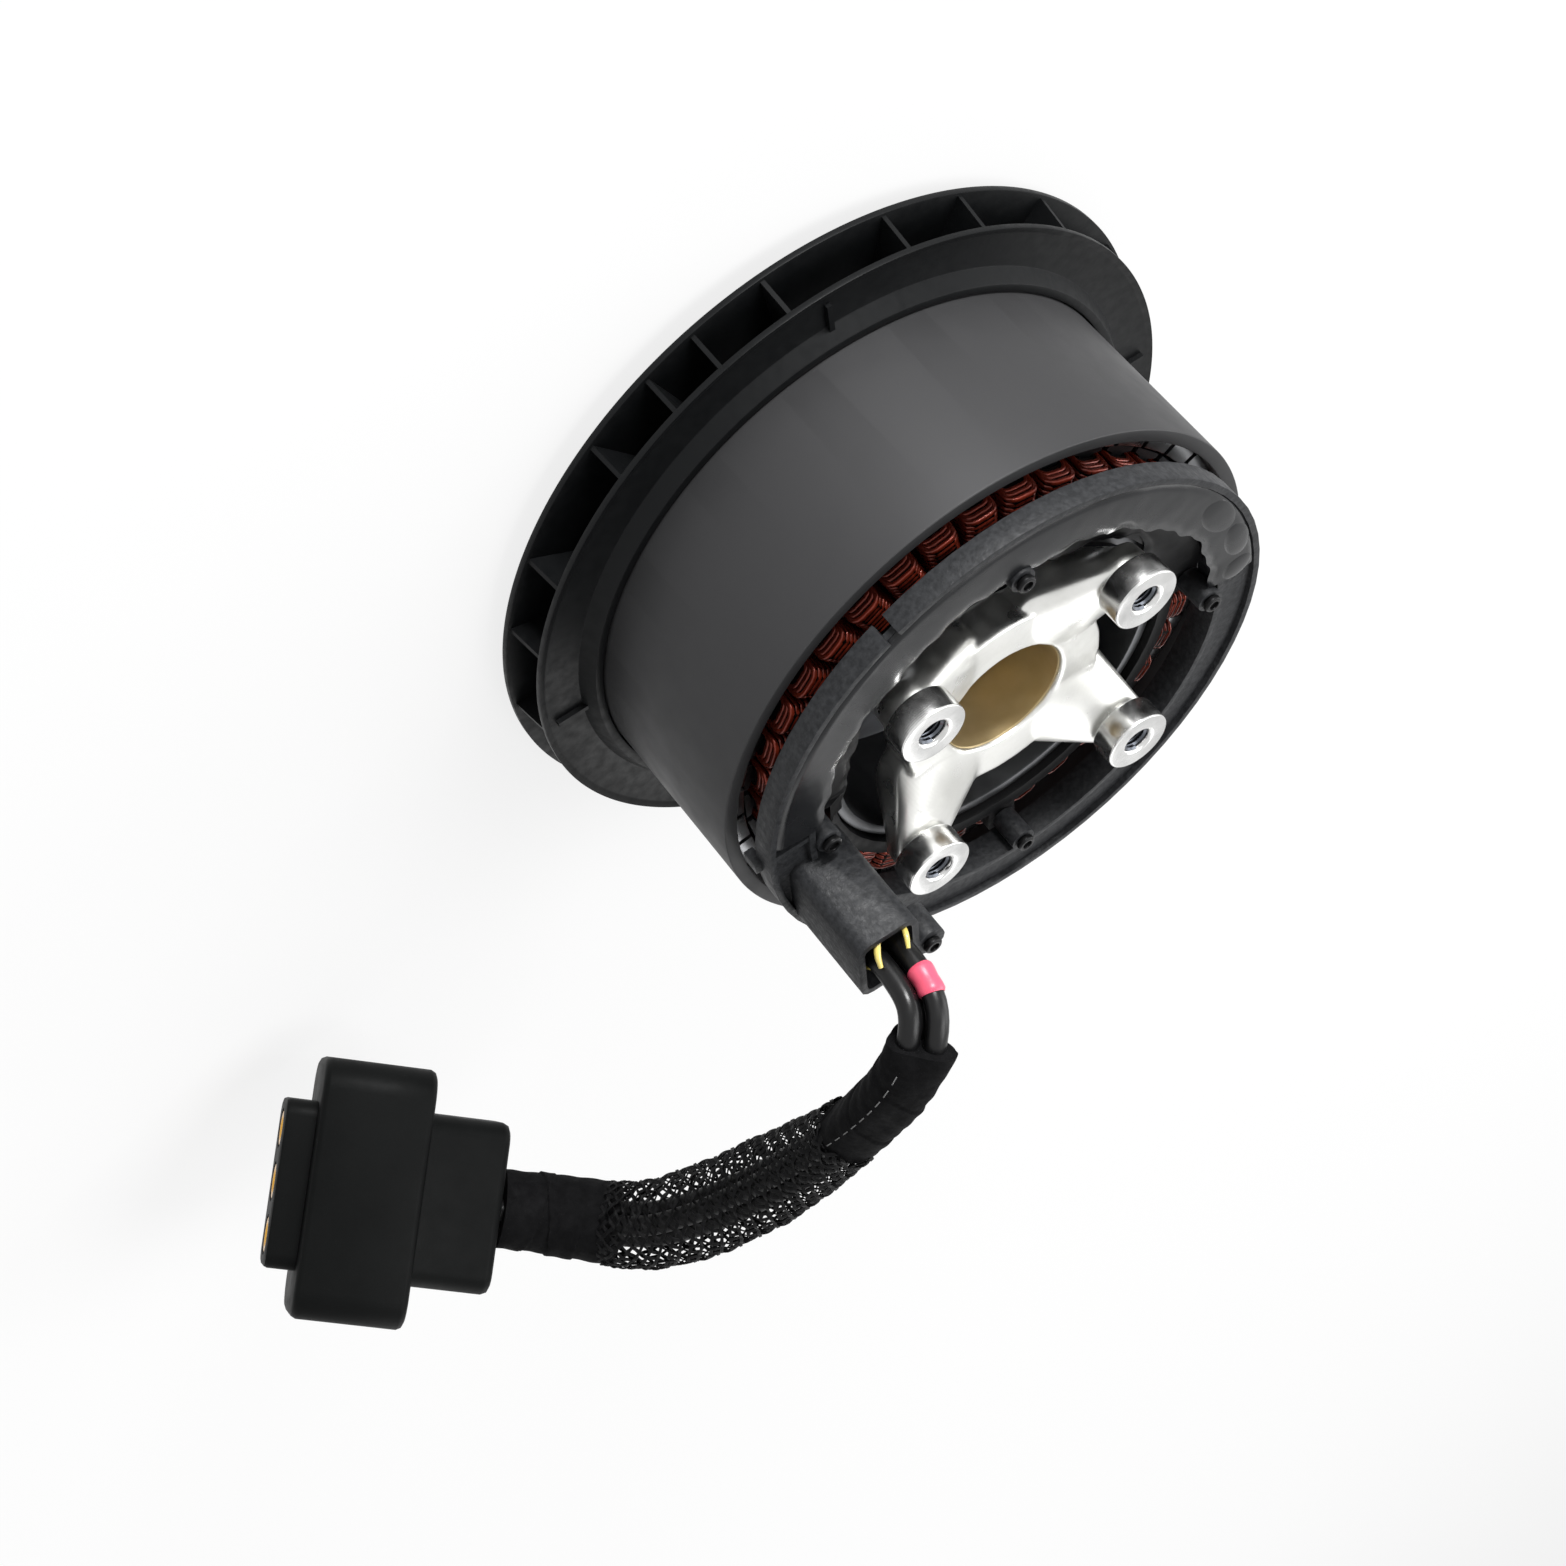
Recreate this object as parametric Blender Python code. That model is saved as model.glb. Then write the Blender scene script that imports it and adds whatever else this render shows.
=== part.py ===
"""Outrunner propulsion motor for a heavy multirotor, standing on its propeller face.

Z is the spin axis and points to the arm-mounting bosses. The origin is on that axis, at the
bottom of the propeller pad. Sizes are in metres, written as millimetres times MM.
"""

import math

import bmesh
import bpy
import numpy as np
from mathutils import Matrix, Vector

MM = 0.001
SEAT_GAP = 0.3 * MM  # between two pieces that touch

# Heights along the spin axis
RIM_Z = 54.5 * MM  # open rim of the bell, above the propeller face
HUB_FACE_HEIGHT = 4.8 * MM  # hub face above the rim
BOSS_FACE_HEIGHT = 15.2 * MM  # boss faces above the rim
COVER_BOTTOM_HEIGHT = 4.8 * MM
COVER_TOP_HEIGHT = 9.3 * MM
DUCT_TOP_HEIGHT = 29.0 * MM

# Bell and magnets
BELL_WALL = 2.7 * MM
BELL_BOTTOM_Z = 5.2 * MM
MAGNET_COUNT = 40
MAGNET_THICKNESS = 3.7 * MM
MAGNET_ANGLE = 7.6  # degrees
MAGNET_OVERHANG = 1.0 * MM  # beyond the stator stack at both ends
AIR_GAP = 0.6 * MM  # between the magnets and the stator stack
WINDOW_COUNT = 16
WINDOW_WIDTH = 14.0 * MM
WINDOW_BOTTOM_Z = 8.0 * MM
WINDOW_TOP_Z = 12.1 * MM

# Centrifugal fan
FAN_OVERHANG = 1.5 * MM  # fan disc beyond the shroud's rim
FAN_DISC_LAP = 11.0 * MM  # fan disc inside the bell's outer face
FAN_DISC_BOTTOM_Z = 3.6 * MM
FAN_DISC_THICKNESS = 1.3 * MM
SHROUD_WIDTH = 12.0 * MM  # beyond the bell's outer face
SHROUD_TOP_Z = 13.8 * MM
SHROUD_THICKNESS = 1.3 * MM
SHROUD_LIP = 0.5 * MM
COLLAR_FOOT_WIDTH = 3.6 * MM
COLLAR_TOP_WIDTH = 1.9 * MM
COLLAR_TOP_Z = 16.4 * MM
VANE_THICKNESS = 1.0 * MM
VANE_CLEARANCE = 0.9 * MM  # from the bell's outer face
# Half of the uneven vane pattern, as angles from its line of symmetry
VANE_ANGLES = (4.35, 16.55, 37.05, 50.85, 68.85)
VANE_SYMMETRY_ANGLE = -65.8
VANE_SIDE_ANGLE = 88.2
RIB_ANGLE = 2.0
RIB_THICKNESS = 1.0 * MM
RIB_HEIGHT = 1.0 * MM

# Rotor spider with the propeller pad
PAD_RADIUS = 26.0 * MM
HUB_TOP_Z = 9.2 * MM
SPOKE_COUNT = 4
SPOKE_WIDTH = 12.0 * MM
SPIDER_RIM_WIDTH = 7.0 * MM
SPIDER_RIM_THICKNESS = 2.4 * MM
PROPELLER_HOLE_CIRCLE = 38.0 * MM
PROPELLER_HOLE_RADIUS = 2.1 * MM
FAN_SCREW_COUNT = 4
FAN_SCREW_HEAD_RADIUS = 2.2 * MM
FAN_SCREW_HEAD_HEIGHT = 1.2 * MM
FAN_SCREW_RADIUS = 1.2 * MM

# Shaft and its two ball bearings
SHAFT_RADIUS = 5.8 * MM
SHAFT_BOTTOM_Z = 1.0 * MM
SHAFT_TOP_Z = 45.0 * MM
BEARING_OUTER_RADIUS = 12.0 * MM
BEARING_WIDTH = 6.0 * MM
BEARING_RACE = 2.0 * MM  # radial thickness of each ring
BEARING_BOTTOMS_Z = {"lower": 14.0 * MM, "upper": 36.0 * MM}
BALL_RADIUS = 1.4 * MM
BALL_COUNT = 7
CIRCLIP_WIDTH = 2.6 * MM
CIRCLIP_THICKNESS = 1.0 * MM

# Aluminium stator mount
BORE_STEP = 0.6 * MM  # bore beyond the bearing's outside radius
BEARING_TUBE_WALL = 4.4 * MM
BEARING_TUBE_BOTTOM_Z = 13.5 * MM
PLATE_INSET = 14.6 * MM  # plate's edge inside the seat tube's outer face
PLATE_THICKNESS = 8.0 * MM
SEAT_TUBE_RADIUS = 36.0 * MM
SEAT_TUBE_WALL = 2.2 * MM
SEAT_TUBE_BOTTOM_Z = 18.0 * MM
SEAT_TUBE_TOP_Z = 56.4 * MM
WEB_BOTTOM_Z = 30.0 * MM
WEB_THICKNESS = 4.0 * MM
BOSS_INSET = 4.0 * MM  # boss centres inside the seat tube's outer face
BOSS_RADIUS = 6.6 * MM
BOSS_THICKNESS = 5.2 * MM
NECK_RADIUS = 5.2 * MM
ARM_FOOT_RADIUS = 11.6 * MM
ARM_FOOT_OVERHANG = 7.8 * MM  # beyond the plate's edge
ARM_FOOT_STEP = 2.3 * MM  # foot's top edge below the hub face
ARM_TIP_RADIUS = 5.7 * MM
THREAD_HOLE_RADIUS = 2.5 * MM
THREAD_HOLE_DEPTH = 12.0 * MM

# Stator stack and windings
STACK_WIDTH = 14.0 * MM  # from the seat to the tooth tips
STACK_BOTTOM_Z = 17.0 * MM
STACK_TOP_Z = 50.0 * MM
YOKE_WIDTH = 3.1 * MM
TOOTH_COUNT = 36
TOOTH_WIDTH = 3.0 * MM
TIP_WIDTH = 7.0 * MM
TIP_DEPTH = 1.0 * MM
COIL_WIDTH = 6.2 * MM
COIL_OVERHANG = 4.0 * MM  # end turns beyond the stack
COIL_CHAMFER = 1.2 * MM
JUMPER_WIDTH = 1.6 * MM
JUMPER_PITCH = 2.3 * MM
JUMPER_BOTTOM_Z = 10.6 * MM
INSULATOR_WALL = 2.8 * MM
INSULATOR_HEIGHT = 7.5 * MM
EAR_WIDTH = 6.0 * MM
EAR_THICKNESS = 2.8 * MM

# Cover ring and wire duct
COVER_WIDTH = 9.6 * MM
COVER_WALL = 1.3 * MM
COVER_FLOOR_DEPTH = 1.2 * MM
COVER_FLOOR_THICKNESS = 1.4 * MM
NOTCH_ANGLE = -61.3
NOTCH_WIDTH = 2.4 * MM
LUG_RADIUS = 2.5 * MM
LUG_INSET = 2.4 * MM  # lug centres inside the cover's inner face
LUG_RISE = 0.7 * MM  # lug tops above the cover's top
LUG_HOLE_RADIUS = 1.4 * MM
COVER_SCREW_RADIUS = 1.1 * MM
COVER_SCREW_HEAD_RADIUS = 1.8 * MM
COVER_SCREW_HEAD_HEIGHT = 1.1 * MM
LATCH_ANGLE = 1.5
DUCT_INSET = 4.2 * MM  # duct's outer face inside the cover's
DUCT_DEPTH = 12.8 * MM
DUCT_WIDTH = 16.6 * MM
DUCT_SIDESTEP = 12.6 * MM  # duct's middle beside the X axis
DUCT_WALL = 1.4 * MM
DUCT_CORNER = 2.6 * MM
DUCT_LUG_RADIUS = 3.2 * MM
DUCT_LUG_OFFSET = (-8.8 * MM, 4.4 * MM)  # from the duct's middle
DUCT_LUG_LENGTH = 7.0 * MM
DUCT_POTTING_DEPTH = 3.5 * MM  # below the duct's open end
POTTING_START_ANGLE = -6.0
POTTING_END_ANGLE = -177.0
APRON_THICKNESS = 1.1 * MM  # resin between the seat tube and the cover, over the insulator
APRON_RISE = 1.2 * MM
APRON_START_ANGLE = -168.0
APRON_SWEEP = 150.0
POTTING_THICKNESS = 0.9 * MM

# Wire harness
WIRE_RADIUS = 2.1 * MM
WIRE_SPREAD = 2.75 * MM  # wire centres from the middle of the bundle
WIRE_PHASE = 90.0  # degrees, turn of the three wires about the bundle's middle
ROUTE_STEP = 5.5 * MM
# Middle line of the harness, in millimetres from the middle of the duct's mouth
ROUTE = [
    (0, 0, -3.2),
    (0, 0, 4.5),
    (1, 0.8, 10.5),
    (3.8, 4.2, 14.2),
    (7.6, 11.9, 14.7),
    (11.4, 22.9, 12.3),
    (16.1, 36.95, 7.7),
    (22.4, 53.6, 0.75),
    (30.8, 69.4, -6.9),
    (40.7, 79.5, -13.5),
    (50, 85.2, -20.5),
    (61.21, 85.38, -31.42),
    (70.73, 81.46, -38.24),
]
MARKER_RADIUS = 2.55 * MM
MARKER_SPAN = (8.5 * MM, 14.0 * MM)
TAPE_FRONT_SPAN = (20.5 * MM, 58.0 * MM)
TAPE_FRONT_RADIUS = 6.4 * MM
TAPE_REAR_START = 128.0 * MM
TAPE_REAR_RADIUS = 8.3 * MM
TAPE_THICKNESS = 0.8 * MM
SLEEVE_THICKNESS = 1.0 * MM
# Outer radius of the braided sleeve at shares of its length
SLEEVE_SHARES = (0.0, 0.2, 0.45, 0.75, 1.0)
SLEEVE_RADII = (6.6 * MM, 7.6 * MM, 8.9 * MM, 9.3 * MM, 8.6 * MM)

# Connector
CONNECTOR_OFFSET = Vector((71.23, 81.25, -38.6)) * MM  # back face from the duct's mouth
CONNECTOR_AXIS = Vector((0.771, -0.318, -0.552)).normalized()
CONNECTOR_LONG = Vector((0.637, 0.42, 0.647))
BACK_SIZE = (15.7 * MM, 33.4 * MM, 20.0 * MM)  # along the axis, long side, thickness
FLANGE_SIZE = (21.8 * MM, 50.2 * MM, 26.0 * MM)
INSERT_SIZE = (5.8 * MM, 32.6 * MM, 15.0 * MM)
BACK_CORNER = 3.0 * MM
FLANGE_CORNER = 6.0 * MM
INSERT_CORNER = 3.0 * MM
CONTACT_PITCH = 10.3 * MM
CONTACT_RADIUS = 3.8 * MM
CONTACT_BORE = 1.9 * MM
CONTACT_RECESS = 0.6 * MM

ROUND_STEPS = 64
PHASES = "uvw"

# Sizes that follow from those above
STACK_RADIUS = SEAT_TUBE_RADIUS + STACK_WIDTH
MAGNET_INNER_RADIUS = STACK_RADIUS + AIR_GAP
BELL_RADIUS = MAGNET_INNER_RADIUS + MAGNET_THICKNESS + BELL_WALL
MAGNET_BOTTOM_Z = STACK_BOTTOM_Z - MAGNET_OVERHANG
MAGNET_TOP_Z = STACK_TOP_Z + MAGNET_OVERHANG
SHROUD_RADIUS = BELL_RADIUS + SHROUD_WIDTH
FAN_RADIUS = SHROUD_RADIUS + FAN_OVERHANG
FAN_DISC_INNER_RADIUS = BELL_RADIUS - FAN_DISC_LAP
COLLAR_OUTER_RADIUS = BELL_RADIUS + COLLAR_FOOT_WIDTH
COLLAR_TOP_RADIUS = BELL_RADIUS + COLLAR_TOP_WIDTH
VANE_INNER_RADIUS = BELL_RADIUS + VANE_CLEARANCE
BORE_RADIUS = BEARING_OUTER_RADIUS + BORE_STEP
BEARING_TUBE_RADIUS = BORE_RADIUS + BEARING_TUBE_WALL
PLATE_RADIUS = SEAT_TUBE_RADIUS - PLATE_INSET
BOSS_REACH = SEAT_TUBE_RADIUS - BOSS_INSET
ARM_FOOT_REACH = PLATE_RADIUS + ARM_FOOT_OVERHANG - ARM_FOOT_RADIUS
COVER_RADIUS = BELL_RADIUS - BELL_WALL - SEAT_GAP
COVER_INNER_RADIUS = COVER_RADIUS - COVER_WIDTH
LUG_CIRCLE_RADIUS = COVER_INNER_RADIUS - LUG_INSET
DUCT_X = (COVER_RADIUS - DUCT_INSET - DUCT_DEPTH, COVER_RADIUS - DUCT_INSET)
DUCT_Y = (DUCT_SIDESTEP - DUCT_WIDTH / 2, DUCT_SIDESTEP + DUCT_WIDTH / 2)
HUB_FACE_Z = RIM_Z + HUB_FACE_HEIGHT
BOSS_FACE_Z = RIM_Z + BOSS_FACE_HEIGHT
COVER_BOTTOM_Z = RIM_Z + COVER_BOTTOM_HEIGHT
COVER_TOP_Z = RIM_Z + COVER_TOP_HEIGHT
COVER_FLOOR_Z = COVER_TOP_Z - COVER_FLOOR_DEPTH
DUCT_TOP_Z = RIM_Z + DUCT_TOP_HEIGHT
EAR_TOP_Z = STACK_TOP_Z + SEAT_GAP + INSULATOR_HEIGHT
SKIRT_BOTTOM_Z = EAR_TOP_Z + SEAT_GAP
LUG_TOP_Z = COVER_TOP_Z + LUG_RISE
DUCT_MOUTH = Vector(((DUCT_X[0] + DUCT_X[1]) / 2, DUCT_SIDESTEP, DUCT_TOP_Z))
DUCT_LUG_CENTRE = (DUCT_MOUTH.x + DUCT_LUG_OFFSET[0], DUCT_MOUTH.y + DUCT_LUG_OFFSET[1])
CONNECTOR_BACK = DUCT_MOUTH + CONNECTOR_OFFSET
BOSS_ANGLES = (45, 135, 225, 315)
LUG_ANGLES = (0, 90, 180, 270)


def clear_scene():
    """Empties the scene that the script runs in."""
    for item in list(bpy.data.objects):
        bpy.data.objects.remove(item, do_unlink=True)


def make_material(name, colour, metallic, roughness):
    """A Principled material; colour is sRGB hex."""
    material = bpy.data.materials.new(name)
    material.use_nodes = True
    shader = material.node_tree.nodes["Principled BSDF"]
    channels = [int(colour[i : i + 2], 16) / 255 for i in (1, 3, 5)]
    linear = [c / 12.92 if c <= 0.04045 else ((c + 0.055) / 1.055) ** 2.4 for c in channels]
    shader.inputs["Base Color"].default_value = (*linear, 1.0)
    shader.inputs["Metallic"].default_value = metallic
    shader.inputs["Roughness"].default_value = roughness
    material.diffuse_color = (*linear, 1.0)
    return material


def make_materials():
    """All the finishes of the motor, by a short name."""
    return {
        "anodised": make_material("satin_anodised_aluminium", "#34363a", 0.6, 0.45),
        "machined": make_material("machined_aluminium", "#d8dadb", 1.0, 0.25),
        "fan": make_material("glass_filled_nylon_black", "#17181a", 0.0, 0.5),
        "cover": make_material("glass_filled_nylon_grey", "#55575a", 0.0, 0.6),
        "potting": make_material("epoxy_potting", "#1a1b1d", 0.0, 0.2),
        "copper": make_material("enamelled_copper_wire", "#6b2418", 0.7, 0.3),
        "stack": make_material("silicon_steel_laminations", "#8b8d90", 1.0, 0.4),
        "insulator": make_material("insulator_resin", "#5a5a58", 0.0, 0.5),
        "steel": make_material("bearing_steel", "#b9bcc0", 1.0, 0.2),
        "shaft": make_material("bronze_tinted_shaft", "#8a7448", 1.0, 0.3),
        "screw": make_material("blackened_screw_steel", "#222325", 0.8, 0.4),
        "silicone": make_material("black_silicone_wire", "#1b1b1c", 0.0, 0.45),
        "marker": make_material("red_heat_shrink", "#d9586a", 0.0, 0.4),
        "tape": make_material("black_cloth_tape", "#1d1d1e", 0.0, 0.85),
        "braid": make_material("black_braided_sleeve", "#161617", 0.0, 0.7),
        "housing": make_material("black_connector_rubber", "#202022", 0.0, 0.6),
        "gold": make_material("gold_plated_contact", "#d0a24c", 1.0, 0.25),
    }


def finish_object(name, mesh_builder, material, smooth_angle=35.0):
    """Turns a bmesh into a named, outward-facing, smooth-shaded object in the scene."""
    bmesh.ops.remove_doubles(mesh_builder, verts=mesh_builder.verts[:], dist=1e-7)
    bmesh.ops.recalc_face_normals(mesh_builder, faces=mesh_builder.faces[:])
    mesh = bpy.data.meshes.new(name)
    mesh_builder.to_mesh(mesh)
    mesh_builder.free()
    mesh.shade_smooth()
    mesh.set_sharp_from_angle(angle=math.radians(smooth_angle))
    item = bpy.data.objects.new(name, mesh)
    bpy.context.scene.collection.objects.link(item)
    if material is not None:
        mesh.materials.append(material)
    return item


def turned(name, profile, material=None, steps=ROUND_STEPS, start=None, sweep=360.0):
    """A body turned about Z from a closed profile of (radius, height) points."""
    builder = bmesh.new()
    origin = math.radians(start or 0.0)
    turn = Matrix.Rotation(origin, 3, "Z")
    corners = [builder.verts.new(turn @ Vector((r, 0.0, z))) for r, z in profile]
    axis = dict(cent=(0, 0, 0), axis=(0, 0, 1), dvec=(0, 0, 0), angle=math.radians(sweep))
    if abs(sweep) >= 360.0:
        edges = [builder.edges.new((a, b)) for a, b in zip(corners, corners[1:] + corners[:1])]
        bmesh.ops.spin(builder, geom=corners + edges, steps=steps, use_merge=True, **axis)
    else:
        face = builder.faces.new(corners)
        bmesh.ops.spin(builder, geom=[face], steps=steps, use_merge=False, **axis)
    bmesh.ops.dissolve_degenerate(builder, dist=1e-7, edges=builder.edges[:])
    return finish_object(name, builder, material)


def prism(name, outline, bottom, top, material=None):
    """A straight body from a flat outline of (x, y) points between two heights."""
    builder = bmesh.new()
    base = builder.faces.new([builder.verts.new((x, y, bottom)) for x, y in outline])
    raised = bmesh.ops.extrude_face_region(builder, geom=[base])["geom"]
    moved = [v for v in raised if isinstance(v, bmesh.types.BMVert)]
    bmesh.ops.translate(builder, verts=moved, vec=(0, 0, top - bottom))
    return finish_object(name, builder, material)


def rounded_outline(x_range, y_range, radius, steps=3):
    """The outline of a rectangle with round corners."""
    points = []
    corners = (
        (x_range[1] - radius, y_range[1] - radius, 0),
        (x_range[0] + radius, y_range[1] - radius, 90),
        (x_range[0] + radius, y_range[0] + radius, 180),
        (x_range[1] - radius, y_range[0] + radius, 270),
    )
    for x, y, start in corners:
        for step in range(steps + 1):
            angle = math.radians(start + 90 * step / steps)
            points.append((x + radius * math.cos(angle), y + radius * math.sin(angle)))
    return points


def circle_outline(centre, radius, steps):
    """The outline of a circle."""
    angles = [2 * math.pi * i / steps for i in range(steps)]
    return [(centre[0] + radius * math.cos(a), centre[1] + radius * math.sin(a)) for a in angles]


def polar(radius, degrees):
    """The (x, y) place at a radius and an angle."""
    return (radius * math.cos(math.radians(degrees)), radius * math.sin(math.radians(degrees)))


def block(name, x_range, y_range, z_range, degrees=0.0, material=None):
    """A box turned about the spin axis."""
    turn = Matrix.Rotation(math.radians(degrees), 3, "Z")
    corners = [(x, y) for x, y in zip((0, 1, 1, 0), (0, 0, 1, 1))]
    outline = [turn @ Vector((x_range[i], y_range[j], 0.0)) for i, j in corners]
    return prism(name, [(p.x, p.y) for p in outline], *z_range, material)


def drum(name, centre, radius, bottom, top, steps=16, material=None):
    """An upright cylinder."""
    return prism(name, circle_outline(centre, radius, steps), bottom, top, material)


def combine(target, pieces, operation):
    """Unites the pieces with the target or cuts them out of it, and removes them."""
    group = bpy.data.collections.new("pieces")
    for piece in pieces:
        group.objects.link(piece)
    modifier = target.modifiers.new("combine", "BOOLEAN")
    modifier.operation = operation
    modifier.operand_type = "COLLECTION"
    modifier.collection = group
    modifier.solver = "EXACT"
    bpy.context.view_layer.update()
    graph = bpy.context.evaluated_depsgraph_get()
    result = bpy.data.meshes.new_from_object(target.evaluated_get(graph))
    target.modifiers.clear()
    material = target.data.materials[0] if target.data.materials else None
    target.data = result
    result.name = target.name
    result.materials.clear()
    if material is not None:
        result.materials.append(material)
    for piece in pieces:
        bpy.data.objects.remove(piece, do_unlink=True)
    bpy.data.collections.remove(group)
    return target


def vane_angles():
    """The angles of all the fan's vanes: an uneven pattern that repeats after half a turn."""
    half = [sign * a for a in VANE_ANGLES for sign in (1, -1)] + [VANE_SIDE_ANGLE]
    return [VANE_SYMMETRY_ANGLE + a + side for a in half for side in (0, 180)]


def fan_ring(material):
    """Centrifugal fan: a disc and a shroud ring joined by thin upright vanes."""
    disc_top = FAN_DISC_BOTTOM_Z + FAN_DISC_THICKNESS
    shroud_bottom = SHROUD_TOP_Z - SHROUD_THICKNESS
    flat_z = SHROUD_TOP_Z - SHROUD_LIP
    sunk = FAN_DISC_THICKNESS / 2
    fan = turned(
        "fan_ring",
        [
            (FAN_DISC_INNER_RADIUS, FAN_DISC_BOTTOM_Z),
            (FAN_RADIUS, FAN_DISC_BOTTOM_Z),
            (FAN_RADIUS, disc_top),
            (FAN_DISC_INNER_RADIUS, disc_top),
        ],
        material,
    )
    shroud = turned(
        "shroud",
        [
            (BELL_RADIUS + SEAT_GAP, shroud_bottom),
            (SHROUD_RADIUS, shroud_bottom),
            (SHROUD_RADIUS, SHROUD_TOP_Z),
            (SHROUD_RADIUS - SHROUD_THICKNESS, flat_z),
            (COLLAR_OUTER_RADIUS, flat_z),
            (COLLAR_TOP_RADIUS, COLLAR_TOP_Z),
            (BELL_RADIUS + SEAT_GAP, COLLAR_TOP_Z),
        ],
    )
    pieces = [shroud]
    for angle in vane_angles():
        pieces.append(fan_vane(angle, disc_top - sunk, shroud_bottom + sunk))
    for quarter in range(4):
        reach = (COLLAR_TOP_RADIUS, SHROUD_RADIUS - 2 * SHROUD_THICKNESS)
        across = (-RIB_THICKNESS / 2, RIB_THICKNESS / 2)
        height = (flat_z - sunk, flat_z + RIB_HEIGHT)
        pieces.append(block("rib", reach, across, height, RIB_ANGLE + 90 * quarter))
    return combine(fan, pieces, "UNION")


def fan_vane(angle, bottom, top):
    """One vane, whose outer edge leans from the disc's rim to the shroud's."""
    turn = Matrix.Rotation(math.radians(angle), 3, "Z")
    outer = (FAN_RADIUS - VANE_THICKNESS / 2, SHROUD_RADIUS - VANE_THICKNESS / 4)
    side = [
        (VANE_INNER_RADIUS, bottom),
        (outer[0], bottom),
        (outer[1], top),
        (VANE_INNER_RADIUS, top),
    ]
    builder = bmesh.new()
    half = VANE_THICKNESS / 2
    face = builder.faces.new([builder.verts.new(turn @ Vector((r, -half, z))) for r, z in side])
    raised = bmesh.ops.extrude_face_region(builder, geom=[face])["geom"]
    moved = [v for v in raised if isinstance(v, bmesh.types.BMVert)]
    bmesh.ops.translate(builder, verts=moved, vec=turn @ Vector((0, VANE_THICKNESS, 0)))
    return finish_object("vane", builder, None)


def rotor_bell(material):
    """Bell tube with its magnets bonded inside and air windows at the fan's end."""
    inner = BELL_RADIUS - BELL_WALL
    profile = [(inner, BELL_BOTTOM_Z), (BELL_RADIUS, BELL_BOTTOM_Z), (BELL_RADIUS, RIM_Z), (inner, RIM_Z)]
    bell = turned("rotor_bell", profile, material, steps=2 * MAGNET_COUNT)
    sunk = inner + 0.2 * MM
    magnets = []
    for index in range(MAGNET_COUNT):
        pitch = 360 / MAGNET_COUNT
        start = index * pitch + (pitch - MAGNET_ANGLE) / 2
        section = [
            (MAGNET_INNER_RADIUS, MAGNET_BOTTOM_Z),
            (sunk, MAGNET_BOTTOM_Z),
            (sunk, MAGNET_TOP_Z),
            (MAGNET_INNER_RADIUS, MAGNET_TOP_Z),
        ]
        magnets.append(turned("magnet", section, None, 2, start, MAGNET_ANGLE))
    combine(bell, magnets, "UNION")
    reach = (inner - BELL_WALL, BELL_RADIUS + BELL_WALL)
    across = (-WINDOW_WIDTH / 2, WINDOW_WIDTH / 2)
    height = (WINDOW_BOTTOM_Z, WINDOW_TOP_Z)
    windows = [
        block("window", reach, across, height, 360 * index / WINDOW_COUNT)
        for index in range(WINDOW_COUNT)
    ]
    return combine(bell, windows, "DIFFERENCE")


def fan_screw_angle(index):
    """Where a fan screw stands: on the middle line of a spoke."""
    return 360 * index / FAN_SCREW_COUNT


def rotor_spider(material):
    """Spoked end piece of the rotor, with the flat pad that carries the propeller."""
    rim_outer = BELL_RADIUS - BELL_WALL - SEAT_GAP
    rim_inner = rim_outer - SPIDER_RIM_WIDTH
    bore = SHAFT_RADIUS + SEAT_GAP
    race_radius = bore + BEARING_RACE * 0.75
    shoulder_z = BEARING_BOTTOMS_Z["lower"] - SEAT_GAP
    edge = 1.0 * MM
    spider = turned(
        "rotor_spider",
        [
            (bore, 0.0),
            (PAD_RADIUS - edge, 0.0),
            (PAD_RADIUS, edge),
            (PAD_RADIUS, HUB_TOP_Z),
            (race_radius, HUB_TOP_Z),
            (race_radius, shoulder_z),
            (bore, shoulder_z),
        ],
        material,
        steps=36,
    )
    rim_top = BELL_BOTTOM_Z + SPIDER_RIM_THICKNESS
    rim = [
        (rim_inner, BELL_BOTTOM_Z),
        (rim_outer, BELL_BOTTOM_Z),
        (rim_outer, rim_top),
        (rim_inner, rim_top),
    ]
    pieces = [turned("spider_rim", rim, steps=48)]
    reach = (PAD_RADIUS - edge, rim_inner + edge)
    across = (-SPOKE_WIDTH / 2, SPOKE_WIDTH / 2)
    height = (BELL_BOTTOM_Z + 0.2 * MM, rim_top - 0.2 * MM)
    for index in range(SPOKE_COUNT):
        pieces.append(block("spoke", reach, across, height, 360 * index / SPOKE_COUNT))
    combine(spider, pieces, "UNION")
    holes = []
    for angle in BOSS_ANGLES:
        place = polar(PROPELLER_HOLE_CIRCLE / 2, angle)
        holes.append(drum("hole", place, PROPELLER_HOLE_RADIUS, -MM, HUB_TOP_Z + MM, 12))
    for index in range(FAN_SCREW_COUNT):
        place = polar(fan_screw_circle(), fan_screw_angle(index))
        radius = FAN_SCREW_RADIUS + SEAT_GAP
        holes.append(drum("hole", place, radius, BELL_BOTTOM_Z - MM, rim_top + MM, 10))
    return combine(spider, holes, "DIFFERENCE")


def fan_screw_circle():
    """Radius at which the fan screws pass through the disc into the spider's rim."""
    return BELL_RADIUS - BELL_WALL - SEAT_GAP - SPIDER_RIM_WIDTH / 2


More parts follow.
